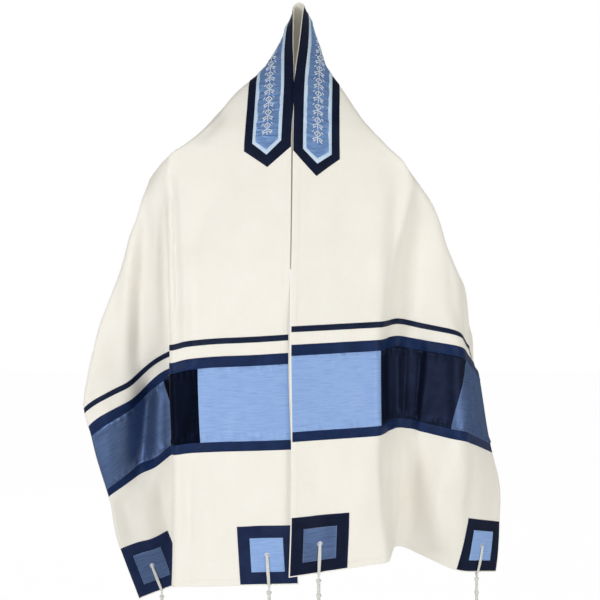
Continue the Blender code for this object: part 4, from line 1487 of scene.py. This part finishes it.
@dataclass
class Neckband:
    """The neckband: navy ground, pale piping frame and silk panel; its stitched ornament is made by Ornament."""

    cloth: DrapedCloth
    ground: Pair = (0.8 * MM, 81 * MM)
    piping: Pair = (17.5 * MM, 67 * MM)
    piping_width: float = 6.5 * MM
    straight: float = 0.250  # along: the arrow ends are stretched from here on
    steps: Triple = (2 * MM, 5 * MM, 4 * MM)  # over the neck, beside it, and elsewhere
    rim: float = 0.6 * MM
    tucked: float = 1 * MM  # of the silk, under the piping
    tip: float = 1.5  # how much wider than its sides the piping is at a point
    piping_section: tuple[float, ...] = (0, 0.12, 0.5, 0.88, 1)
    lap: float = 1.9 * MM  # how far the ground is carried over the neck edge
    lap_across: Pair = (4 * MM, 3 * MM)  # where the lap is gone, and how far that takes
    lap_from: Pair = (0.160, 0.192)  # along: where the lap starts and is full
    lap_to: Pair = (0.204, 0.240)  # and where it starts to end and has ended
    wave_height: float = 0.14 * MM
    wave_cell: Pair = (14 * MM, 9 * MM)  # along and across
    folds: Pair = (8 * MM, 34 * MM)  # the silk's short folds: width and length
    fine_folds: Pair = (3.6 * MM, 16 * MM)
    fold_heights: Pair = (0.95, 0.35)  # of both, in millimetres
    fullness: float = 0.7  # how far the silk stands up between its folds
    deepest: float = -0.1
    bend: Pair = (0.9, 9 * MM)  # how much the folds wind, and how often
    piping_step: float = 3 * MM
    piping_spare: Pair = (0.1 * MM, 0.4 * MM)  # off the layers below and at its own height
    piping_round: float = 1.2  # the piping is round, so its edges lose more than all thickness
    silk_share: float = 0.8  # of a layer's thickness
    tuck_shoulder: float = 0.5 * MM  # how far the silk's ends go under the piping
    tuck_point: float = 1.2 * MM

    def lapped(self, places: Array) -> Array:
        """Carries the ground's neck side over the cloth's edge down the front.

        Args:
            places: the ground's places.

        Returns:
            The places with their lap.
        """
        along, across = np.abs(places[..., 0]), places[..., 1]
        share = ease((self.lap_across[0] - across) / self.lap_across[1])
        for (first, last), way in ((self.lap_from, 1), (self.lap_to, -1)):
            share = share * ease(0.5 + way * ((along - first) / (last - first) - 0.5))
        return places - np.stack([np.zeros_like(share), self.lap * share], -1)

    def arrow(self, across: Pair, ends: dict[Side, Pair]) -> Array:
        """A grid of places whose two ends are stretched into arrow points.

        Args:
            across: the band's two edges.
            ends: for each half, how far along the shoulders and the point of its end are.

        Returns:
            Rows of (signed along, across).
        """
        middle, half = (across[0] + across[1]) / 2, (across[1] - across[0]) / 2
        over, beside, step = self.steps
        columns = fill([*rimmed(*across), middle], step)
        halves = {}
        for side, (shoulder, point) in ends.items():
            lines = np.concatenate([fill([0, ARCH_END], over), fill([ARCH_END, self.straight], beside)[1:],
                                    fill([self.straight, shoulder - self.rim, shoulder], step)[1:]])
            places = grid(lines, columns)
            reach = shoulder + (point - shoulder) * (1 - np.abs(places[..., 1] - middle) / half)
            past = np.clip(places[..., 0] - self.straight, 0, None) / (shoulder - self.straight)
            pulled = self.straight + past * (reach - self.straight)
            places[..., 0] = side.value * np.where(places[..., 0] >= self.straight, pulled, places[..., 0])
            halves[side] = places
        return np.concatenate([halves[Side.LEFT][:0:-1], halves[Side.RIGHT]])

    def frame_loop(self) -> Array:
        """Follows the piping frame round the silk panel.

        Returns:
            Rows of places, each from the frame's outer to its inner edge.
        """
        low, high = self.piping
        width = self.piping_width
        middle = (low + high) / 2
        corners = []
        for side, order in ((Side.RIGHT, 1), (Side.LEFT, -1)):
            shoulder, point = PIPING_END[side]
            outer = [(shoulder, low), (point, middle), (shoulder, high)]
            inner = [(shoulder - width / 2, low + width), (point - self.tip * width, middle),
                     (shoulder - width / 2, high - width)]
            for o, i in list(zip(outer, inner))[::order]:
                corners.append(((side.value * o[0], o[1]), (side.value * i[0], i[1])))
        rows = []
        for (o0, i0), (o1, i1) in zip(corners, corners[1:] + corners[:1]):
            count = max(2, round(math.dist(o0, o1) / self.piping_step))
            for k in range(count):
                share = k / count
                rows.append([[a + (b - a) * share for a, b in zip(*ends)] for ends in ((o0, o1), (i0, i1))])
        rows = np.array(rows)
        shares = np.array(self.piping_section)[None, :, None]
        return rows[:, :1] * (1 - shares) + rows[:, 1:] * shares

    def wave(self, along: Array, across: Array) -> Array:
        """The slight unevenness of a stitched band."""
        return self.wave_height * value_noise(along / self.wave_cell[0], across / self.wave_cell[1], 31)

    def crinkle(self, along: Array, across: Array) -> Array:
        """Short folds across the silk panel, where the embroidery draws it in.

        Args:
            along: signed places along.
            across: places across.

        Returns:
            The height at each place.
        """
        bent = along / self.folds[0] + self.bend[0] * np.sin(across / self.bend[1])
        folds = self.fold_heights[0] * value_noise(bent, across / self.folds[1], 32)
        fine = self.fold_heights[1] * value_noise(along / self.fine_folds[0], across / self.fine_folds[1], 33)
        return MM * np.clip(folds + fine + self.fullness, self.deepest, None)

    def build(self) -> list[Object]:
        """Makes the three sewn layers of the band.

        Returns:
            The ground, the silk and the piping.
        """
        width = self.piping_width
        inside = (self.piping[0] + width - self.tucked, self.piping[1] - width + self.tucked)
        inside_end = {side: (shoulder - width / 2 + self.tuck_shoulder, point - self.tip * width + self.tuck_point)
                      for side, (shoulder, point) in PIPING_END.items()}
        below, on_ground, on_silk = LAYER_LIFT
        ground = sew_on(self.cloth, "neckband_ground", DEEP_NAVY_SATIN,
                        self.lapped(self.arrow(self.ground, NECKBAND_END)), below, self.wave)
        silk = sew_on(self.cloth, "neckband_silk", NECK_SILK, self.arrow(inside, inside_end), on_ground,
                      self.crinkle, self.silk_share)
        piping = SewnShell(self.cloth, "neckband_piping_frame", PIPING_SATIN, self.frame_loop()[:, ::-1],
                           on_ground + self.piping_spare[0], on_silk + self.piping_spare[1], loop=True,
                           extra=self.wave, soften=self.piping_round).build()
        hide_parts("neckband")
        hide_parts("neckband_panel")
        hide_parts("neckband_piping")
        return [ground, silk, piping]


@dataclass
class Ornament:
    """A generic stitched ornament down each half of the neckband: lozenges and leaf sprigs."""

    cloth: DrapedCloth
    first: float = 0.040  # along, where the first unit starts
    lead: float = 9 * MM  # from there to its own zero
    pitch: float = 0.0244
    middle: float = 42.3 * MM  # across
    thread: float = 0.62 * MM
    off_silk: float = 1.0 * MM
    bow: float = 0.35 * MM  # how much a stitch rises in its middle
    # One row for each stitch of a unit, in millimetres: along and across of both ends
    stitches: tuple[tuple[float, float, float, float], ...] = (
        (-7.0, 0.0, -1.5, 5.6), (-1.5, 5.6, 4.0, 0.0), (4.0, 0.0, -1.5, -5.6), (-1.5, -5.6, -7.0, 0.0),
        (-4.2, 0.0, 1.2, 0.0), (5.2, 1.2, 8.6, 8.8), (5.2, -1.2, 8.6, -8.8), (8.6, 8.8, 11.6, 4.4),
        (8.6, -8.8, 11.6, -4.4), (4.6, 0.0, 15.0, 0.0), (9.2, 2.4, 13.6, 7.8), (9.2, -2.4, 13.6, -7.8),
        (-6.0, 6.6, -2.6, 9.6), (-6.0, -6.6, -2.6, -9.6),
    )

    def build(self, yarn: NodeTool) -> Object:
        """Lays all stitches as one piece of thread work.

        Args:
            yarn: the tool that twists the thread.

        Returns:
            The ornament.
        """
        paths = []
        lift = LAYER_LIFT[1] + LAYER_THICK + self.off_silk
        for side in Side:
            count = int((PIPING_END[side][0] - self.first) / self.pitch)
            for k in range(count):
                start = self.first + self.lead + k * self.pitch
                for a0, b0, a1, b1 in self.stitches:
                    share = np.linspace(0, 1, 6)
                    along = side.value * (start + (a0 + (a1 - a0) * share) * MM)
                    across = self.middle + (b0 + (b1 - b0) * share) * MM
                    rise = lift + self.bow * np.sin(math.pi * share)
                    paths.append(self.cloth.place(along, across, rise))
        return yarn.run("neckband_ornament", paths, SILVER_THREAD, {
            "Plies": 2, "Ply Radius": self.thread, "Spread": 0.45 * MM, "Turns": 220.0,
            "Step": 1.2 * MM, "Sides": 5})


@dataclass
class Seams:
    """Rows of stitches along the strips, the corner and inset squares, the seams of the light and slate panels, and
    the hems.
    """

    cloth: DrapedCloth
    inset: float = 1.6 * MM  # from an edge to its row
    step: float = 4 * MM
    clear: float = 2 * MM  # where a row ends before what crosses it
    panel_clear: float = 3 * MM
    hem_inset: float = 2.2 * MM
    inset_gap: float = 0.6 * MM  # how much wider the inset squares' rows are
    front_from: float = 0.33  # along: where the front's hem rows start
    back_reach: float = 0.32  # along: how far the back's hem row goes

    def row(self, ends: Sequence[Pair], lift: float) -> Array:
        """Lays a path over the cloth.

        Args:
            ends: the places of the cut that it goes through.
            lift: how far off the cloth's middle.

        Returns:
            Points in the part's frame.
        """
        along, across = [], []
        for (u0, v0), (u1, v1) in zip(ends, ends[1:]):
            count = max(2, math.ceil(math.dist((u0, v0), (u1, v1)) / self.step))
            share = np.arange(count) / count
            along += list(u0 + (u1 - u0) * share)
            across += list(v0 + (v1 - v0) * share)
        along.append(ends[-1][0])
        across.append(ends[-1][1])
        return self.cloth.place(np.array(along), np.array(across), lift)

    def line(self, side: Side, along: Sequence[float], across: Sequence[float], lift: float) -> Array:
        """Lays a straight row on one half.

        Args:
            side: the half.
            along: where it starts and ends, unsigned.
            across: the same across.
            lift: how far off the cloth's middle.

        Returns:
            Points in the part's frame.
        """
        return self.row([(side.value * u, v) for u, v in zip(along, across)], lift)

    def box_row(self, side: Side, low: Pair, high: Pair, lift: float) -> Array:
        """Lays a closed row inside a rectangle of the cut.

        Args:
            side: the half.
            low: the rectangle's low corner, unsigned.
            high: its high corner.
            lift: how far off the cloth's middle.

        Returns:
            Points in the part's frame.
        """
        a, b = low[0] + self.inset, high[0] - self.inset
        c, d = low[1] + self.inset, high[1] - self.inset
        return self.line(side, (a, b, b, a, a), (c, c, d, d, c), lift)

    def blue_rows(self) -> list[Array]:
        """Lays the rows on the strips and on the corner squares.

        Returns:
            The rows.
        """
        on_strip = LAYER_LIFT[0] + LAYER_THICK + 0.10 * MM
        ends = (EDGE_MARGIN + self.clear, CUT_WIDTH - EDGE_MARGIN - self.clear)
        rows = []
        for side in Side:
            for low, high in (NARROW_STRIPE, UPPER_STRIP, LOWER_STRIP):
                rows += [self.line(side, (at, at), ends, on_strip) for at in (low + self.inset, high - self.inset)]
            for corner in Corner:
                low = corner.low()
                rows.append(self.box_row(side, low, (low[0] + CORNER_SIZE, low[1] + CORNER_SIZE), on_strip))
        return rows

    def pale_rows(self) -> list[Array]:
        """Lays the rows round the inset squares and along the seams of the silk panels.

        Returns:
            The rows.
        """
        on_panel = LAYER_LIFT[0] + LAYER_THICK + 0.30 * MM
        on_inset = LAYER_LIFT[1] + LAYER_THICK + 0.10 * MM
        light = (EDGE_MARGIN + self.panel_clear, PANEL_SEAMS[0] - self.panel_clear)
        slate = (PANEL_SEAMS[1] + self.panel_clear, CUT_WIDTH - EDGE_MARGIN - self.panel_clear)
        near = INSET_MARGIN - self.inset + self.inset_gap
        far = CORNER_SIZE - INSET_MARGIN + self.inset - self.inset_gap
        rows = []
        for side in Side:
            for at in (PANELS[0] + self.inset, PANELS[1] - self.inset):
                rows += [self.line(side, (at, at), ends, on_panel) for ends in (light, slate)]
            for corner in Corner:
                low = corner.low()
                rows.append(self.box_row(side, (low[0] + near, low[1] + near), (low[0] + far, low[1] + far),
                                         on_inset))
        return rows

    def hem_rows(self) -> list[Array]:
        """Lays the rows along the hems.

        Returns:
            The rows.
        """
        lift = CLOTH_HALF + 0.25 * MM
        at, end = HEM_WIDTH - self.hem_inset, HALF_LENGTH - HEM_WIDTH + self.hem_inset
        below_bands = (LOWER_STRIP[1] + self.clear, Corner.FRONT.low()[0] - self.clear)
        above_bands = (self.front_from, NARROW_STRIPE[0] - self.clear)
        across_end = (Corner.FRONT.low()[1] + CORNER_SIZE + self.clear, Corner.SIDE.low()[1] - self.clear)
        rows = []
        for side in Side:
            rows.append(self.line(side, (end, end), across_end, lift))
            for across in (at, CUT_WIDTH - at):
                rows += [self.line(side, run, (across, across), lift) for run in (below_bands, above_bands)]
        rows.append(self.row([(way * self.back_reach, CUT_WIDTH - at) for way in (-1, 1)], lift))
        return rows

    def build(self) -> list[Object]:
        """Stitches every row.

        Returns:
            The blue, the pale blue and the cream stitches.
        """
        blue = stitch_tool(NAVY_THREAD).run("stitches_blue", self.blue_rows(), NAVY_THREAD, {
            "Spacing": 3.4 * MM, "Length": 2.2 * MM, "Thickness": 0.50 * MM, "Seed": 4})
        cream = stitch_tool(CREAM_THREAD).run("stitches_cream", self.hem_rows(), CREAM_THREAD, {
            "Spacing": 3.6 * MM, "Length": 2.3 * MM, "Thickness": 0.50 * MM, "Seed": 7})
        pale = stitch_tool(PALE_THREAD).run("stitches_pale", self.pale_rows(), PALE_THREAD, {
            "Spacing": 4.2 * MM, "Length": 1.9 * MM, "Thickness": 0.42 * MM, "Seed": 9})
        return [blue, pale, cream]


@dataclass
class Tassel:
    """A ritual fringe: threads through the eyelet, knots with windings between, and loose strands."""

    cloth: DrapedCloth
    side: Side
    corner: Corner
    head: float = 0.100
    knots: int = 5
    core: float = 2.1 * MM
    winding: float = 0.62 * MM
    strand_length: float = 0.200
    strands: int = 8
    leg_offsets: tuple[float, ...] = (-1.9, 0.0, 1.9)  # across, in millimetres
    leg_points: int = 12
    leg_bow: float = 0.5 * MM
    below_hem: float = 2 * MM  # where the legs leave the cloth
    top_drop: float = 0.0125  # from there to the first knot
    # Turns of a knot: half height (negative winds back), radius over the core, number of turns
    knot_turns: tuple[Triple, ...] = ((2.2 * MM, 1.0 * MM, 2.2), (-1.6 * MM, 1.5 * MM, 1.3))
    winding_clear: float = 2.4 * MM  # from a knot's middle
    winding_pitch: float = 1.45 * MM
    winding_counts: tuple[float, ...] = (1, 0.85, 1.1, 0.95)  # no gap is wound quite alike
    strand_points: int = 26
    # Loose strands in millimetres: how far apart at the top, how much more at the end, and its power
    spread: Triple = (1.2, 10.5, 0.8)
    # Their waves outwards and sideways: size, and radians from strand to strand and down one
    wander: Triple = (1.2, 2.1, 7)
    sway: Triple = (1.6, 1.7, 5)
    loosen: float = 6  # how fast the waves set in below the head

    def legs(self) -> tuple[list[Array], Array]:
        """Leads threads from the eyelet to the first knot, before and behind the cloth.

        Returns:
            The threads' paths, and the first knot's place.
        """
        centre = self.corner.centre()
        w = self.side.value
        out, inside = LAYER_LIFT[2] + 1.4 * MM, -CLOTH_HALF - 1.5 * MM
        hem = HALF_LENGTH + self.below_hem
        front_end, back_end = (self.cloth.spot(w * hem, centre[1], lift) for lift in (out, inside))
        top = (front_end + back_end) / 2 - (0, 0, self.top_drop)
        knot = [top + (0, 0, 1 * MM)]
        paths = []
        for offset in self.leg_offsets:
            share = np.linspace(0, 1, self.leg_points)
            along = w * (centre[0] + (hem - centre[0]) * share)
            across = centre[1] + offset * MM * (0.55 + 0.35 * np.sin(math.pi * share))
            bow = self.leg_bow * np.sin(math.pi * share)
            front = self.cloth.place(along, across, out + bow)
            through = self.cloth.place(np.full(3, w * centre[0]), np.full(3, centre[1] + 0.5 * offset * MM),
                                       np.array([inside * 0.6, 0.6 * MM, out * 0.75]))
            back = self.cloth.place(along, across, np.full(self.leg_points, inside))
            paths.append(np.concatenate([knot, back[::-1], through, front, knot]))
        return paths, top

    def frame_of(self) -> tuple[Array, Array]:
        """Finds two level directions beside the head.

        Returns:
            The one along the cloth's face and the one out of it.
        """
        centre = self.corner.centre()
        low, high = (self.cloth.spot(self.side.value * HALF_LENGTH, centre[1], lift) for lift in (0, 1))
        flat = (high - low) * (1, 1, 0)
        out = flat / np.linalg.norm(flat)
        return np.cross(out, (0, 0, 1)), out

    def coil(self, top: Array, low: float, high: float, radius: float, turns: float) -> Array:
        """Winds a helix about the head.

        Args:
            top: the head's upper end.
            low: how far below it the helix starts.
            high: how far below it the helix ends.
            radius: its radius.
            turns: how often it goes round.

        Returns:
            Points in the part's frame.
        """
        beside, out = self.frame_of()
        share = np.linspace(0, 1, max(12, int(turns * 14)))
        angle = TURN * turns * share
        return (top + np.outer(np.cos(angle), beside) * radius + np.outer(np.sin(angle), out) * radius
                - np.outer(low + (high - low) * share, (0, 0, 1)))

    def head_paths(self, top: Array) -> tuple[list[Array], list[Array]]:
        """Winds the threads between the knots, and ties the knots.

        Args:
            top: the head's upper end.

        Returns:
            The windings' paths and the fatter knots' paths.
        """
        gap = self.head / (self.knots - 1)
        windings, knots = [], []
        for k in range(self.knots):
            at = k * gap
            knots += [self.coil(top, at - half, at + half, self.core + over, turns)
                      for half, over, turns in self.knot_turns]
            if k < self.knots - 1:
                turns = (gap - 5 * MM) / self.winding_pitch * self.winding_counts[k % len(self.winding_counts)]
                windings.append(self.coil(top, at + self.winding_clear, at + gap - self.winding_clear,
                                          self.core + 0.3 * MM, turns))
        return windings, knots

    def strand_paths(self, top: Array) -> list[Array]:
        """Lets loose strands spread and sway a little as they fall.

        Args:
            top: the head's upper end.

        Returns:
            One path for each strand.
        """
        beside, out = self.frame_of()
        (near, far, power), (size, step, rate), (side, side_step, side_rate) = self.spread, self.wander, self.sway
        paths = []
        for k in range(self.strands):
            angle = TURN * (k + 1) / self.strands
            away = math.cos(angle) * beside + math.sin(angle) * out
            across = -math.sin(angle) * beside + math.cos(angle) * out
            share = np.linspace(0, 1, self.strand_points)
            loose = ease(share * self.loosen)
            spread = (near + far * share**power + size * np.sin(step * k + rate * share) * loose) * MM
            sway = side * MM * np.sin(side_step * k + side_rate * share) * loose
            fall = self.head - 3 * MM + share * (self.strand_length + 8 * MM * math.sin(2.4 * k))
            paths.append(top + spread[:, None] * away + sway[:, None] * across - np.outer(fall, (0, 0, 1)))
        return paths

    def build(self, yarn: NodeTool) -> Object:
        """Makes the tassel's parts, in place of the part's plain tassel.

        Args:
            yarn: the tool that twists the threads.

        Returns:
            The legs, which stand for the part's tassel.
        """
        word = f"{self.corner.value}_{self.side.word}"
        legs, top = self.legs()
        windings, knots = self.head_paths(top)
        core = [np.array([top + (0, 0, 2 * MM), top - (0, 0, self.head + 2 * MM)])]
        groups = (
            ("legs", legs, {"Plies": 2, "Ply Radius": 0.78 * MM, "Spread": 0.62 * MM, "Turns": 130.0}),
            ("core", core, {"Plies": 4, "Ply Radius": 0.95 * MM, "Spread": 0.85 * MM, "Turns": 25.0}),
            ("windings", windings, {"Plies": 1, "Ply Radius": self.winding, "Spread": 0.01 * MM, "Turns": 0.0}),
            ("knots", knots, {"Plies": 2, "Ply Radius": 0.72 * MM, "Spread": 0.55 * MM, "Turns": 150.0}),
            ("strands", self.strand_paths(top),
             {"Plies": 2, "Ply Radius": 0.52 * MM, "Spread": 0.42 * MM, "Turns": 190.0}),
        )
        made = [yarn.run(f"tassel_{group}_{word}", paths, TASSEL_WOOL, {"Step": 1.1 * MM, "Sides": 6, **values})
                for group, paths, values in groups]
        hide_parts(f"tassel_{word}")
        return made[0]


# ---------------- the studio


@dataclass(frozen=True)
class Lamp:
    """A square soft light aimed at a point."""

    name: str
    place: Triple
    target: Triple
    size: float
    power: float
    colour: str = "#fffefa"

    def hang(self) -> None:
        """Puts the light in the scene."""
        data = bpy.data.lights.new(self.name, "AREA")
        data.shape = "SQUARE"
        data.size = self.size
        data.energy = self.power
        data.color = linear(self.colour)[:3]
        made = bpy.data.objects.new(self.name, data)
        made.location = self.place
        made.rotation_mode = "QUATERNION"
        made.rotation_quaternion = (Vector(self.target) - Vector(self.place)).to_track_quat("-Z", "Y")
        bpy.context.scene.collection.objects.link(made)


LAMPS = (
    # shapes the left sleeve's folds, and glints on the ridge beside its trough
    Lamp("key", (-2.0, -2.2, -0.30), (0, 0, -0.66), 0.7, 31.0, "#fdfdff"),
    # large and as strong from the other side, for the right end's silks
    Lamp("fill", (2.05, -2.2, -0.5), (0.10, 0, -0.72), 1.5, 32.0),
    # evens out what faces the camera
    Lamp("front", (-1.1, -2.9, -0.4), (0, 0, -0.70), 1.6, 6.0),
    # parts the right outline from the room
    Lamp("rim", (2.6, 0.6, 1.2), (0, 0, -0.3), 1.0, 4.0, "#f3f7ff"),
    # lights the back and the cloth seen through the neck
    Lamp("back", (-0.6, 3.0, 0.4), (0, 0, -0.45), 2.0, 34.0),
)


@dataclass
class Studio:
    """A pale floor, soft lights and a level camera before the shawl."""

    camera_place: Triple = (0.010, -1.73, -0.318)
    sensor_mm: float = 36.0
    focal_px: float = 955.2
    frame_px: int = 600
    horizon_px: int = 319
    floor_gap: float = 6 * MM
    floor_reach: float = 14.0
    floor_colour: str = "#e8e8e8"
    floor_glow: float = 0.985  # share of plain white that the camera sees on the floor
    room_colour: str = "#fffcf5"
    room_light: float = 0.36

    def floor(self) -> None:
        """Lays a wide matte floor just under the tassels, nearly as white to the camera as the room."""
        level, reach = CAD_BOX[0].z - self.floor_gap, self.floor_reach
        mesh = bpy.data.meshes.new("floor")
        mesh.from_pydata([(x * reach, y * reach, level) for x, y in ((-1, -1), (1, -1), (1, 1), (-1, 1))],
                         [], [(0, 1, 2, 3)])
        made = bpy.data.objects.new("floor", mesh)
        paint = bpy.data.materials.new("matte_paint_white")
        paint.use_nodes = True
        tree = paint.node_tree
        shader = tree.nodes["Principled BSDF"]
        shader.inputs["Base Color"].default_value = linear(self.floor_colour)
        shader.inputs["Roughness"].default_value = 0.9
        ray = add_node(tree, "ShaderNodeLightPath").outputs["Is Camera Ray"]
        share = reckon(tree, "MULTIPLY", ray, self.floor_glow)
        glow = add_node(tree, "ShaderNodeEmission", {"Color": linear("#ffffff"), "Strength": 1.0}).outputs[0]
        both = add_node(tree, "ShaderNodeMixShader", links={0: share, 1: shader.outputs[0], 2: glow}).outputs[0]
        tree.links.new(both, tree.nodes["Material Output"].inputs["Surface"])
        mesh.materials.append(paint)
        bpy.context.scene.collection.objects.link(made)
        made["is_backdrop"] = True

    def room(self) -> None:
        """Makes a room that looks plain white and lights the shawl softly from all round."""
        world = bpy.data.worlds.new("studio")
        world.use_nodes = True
        tree = world.node_tree
        seen = tree.nodes["Background"]
        seen.inputs["Color"].default_value = linear("#ffffff")
        seen.inputs["Strength"].default_value = 1.0
        room = add_node(tree, "ShaderNodeBackground",
                        {"Color": linear(self.room_colour), "Strength": self.room_light})
        ray = add_node(tree, "ShaderNodeLightPath")
        both = add_node(tree, "ShaderNodeMixShader", links={
            0: ray.outputs["Is Camera Ray"], 1: room.outputs[0], 2: seen.outputs[0]})
        tree.links.new(both.outputs[0], tree.nodes["World Output"].inputs["Surface"])
        bpy.context.scene.world = world

    def camera(self) -> None:
        """Sets a level camera, whose lens shift lowers the horizon in the frame."""
        data = bpy.data.cameras.new("camera")
        data.sensor_width = self.sensor_mm
        data.lens = self.sensor_mm * self.focal_px / self.frame_px
        data.shift_y = (self.horizon_px - self.frame_px / 2) / self.frame_px
        data.clip_start, data.clip_end = 0.05, 60
        made = bpy.data.objects.new("camera", data)
        made.location = self.camera_place
        made.rotation_euler = (math.pi / 2, 0, 0)
        bpy.context.scene.collection.objects.link(made)
        bpy.context.scene.camera = made

    def build(self) -> None:
        """Makes everything round the shawl."""
        self.floor()
        self.room()
        for lamp in LAMPS:
            lamp.hang()
        self.camera()
        bpy.context.scene.view_settings.view_transform = "Standard"


def main() -> None:
    """Builds the shawl piece by piece."""
    logging.basicConfig(level=logging.INFO, format="%(name)s: %(message)s")
    cloth = DrapedCloth()
    Studio().build()
    shawl = ShawlCloth(cloth).build()
    sewn: list[Object] = []
    for side in Side:
        sewn += EndBands(cloth, side).build()
        for corner in Corner:
            sewn += CornerPiece(cloth, side, corner).build()
    sewn += Neckband(cloth).build()
    sewn.append(Ornament(cloth).build(yarn_tool(SILVER_THREAD)))
    sewn += Seams(cloth).build()
    yarn = yarn_tool(TASSEL_WOOL)
    for side in Side:
        for corner in Corner:
            Tassel(cloth, side, corner).build(yarn)
    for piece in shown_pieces():
        LOG.info("%s: %d faces", piece.name, len(piece.data.polygons))


if __name__ == "__main__":
    main()
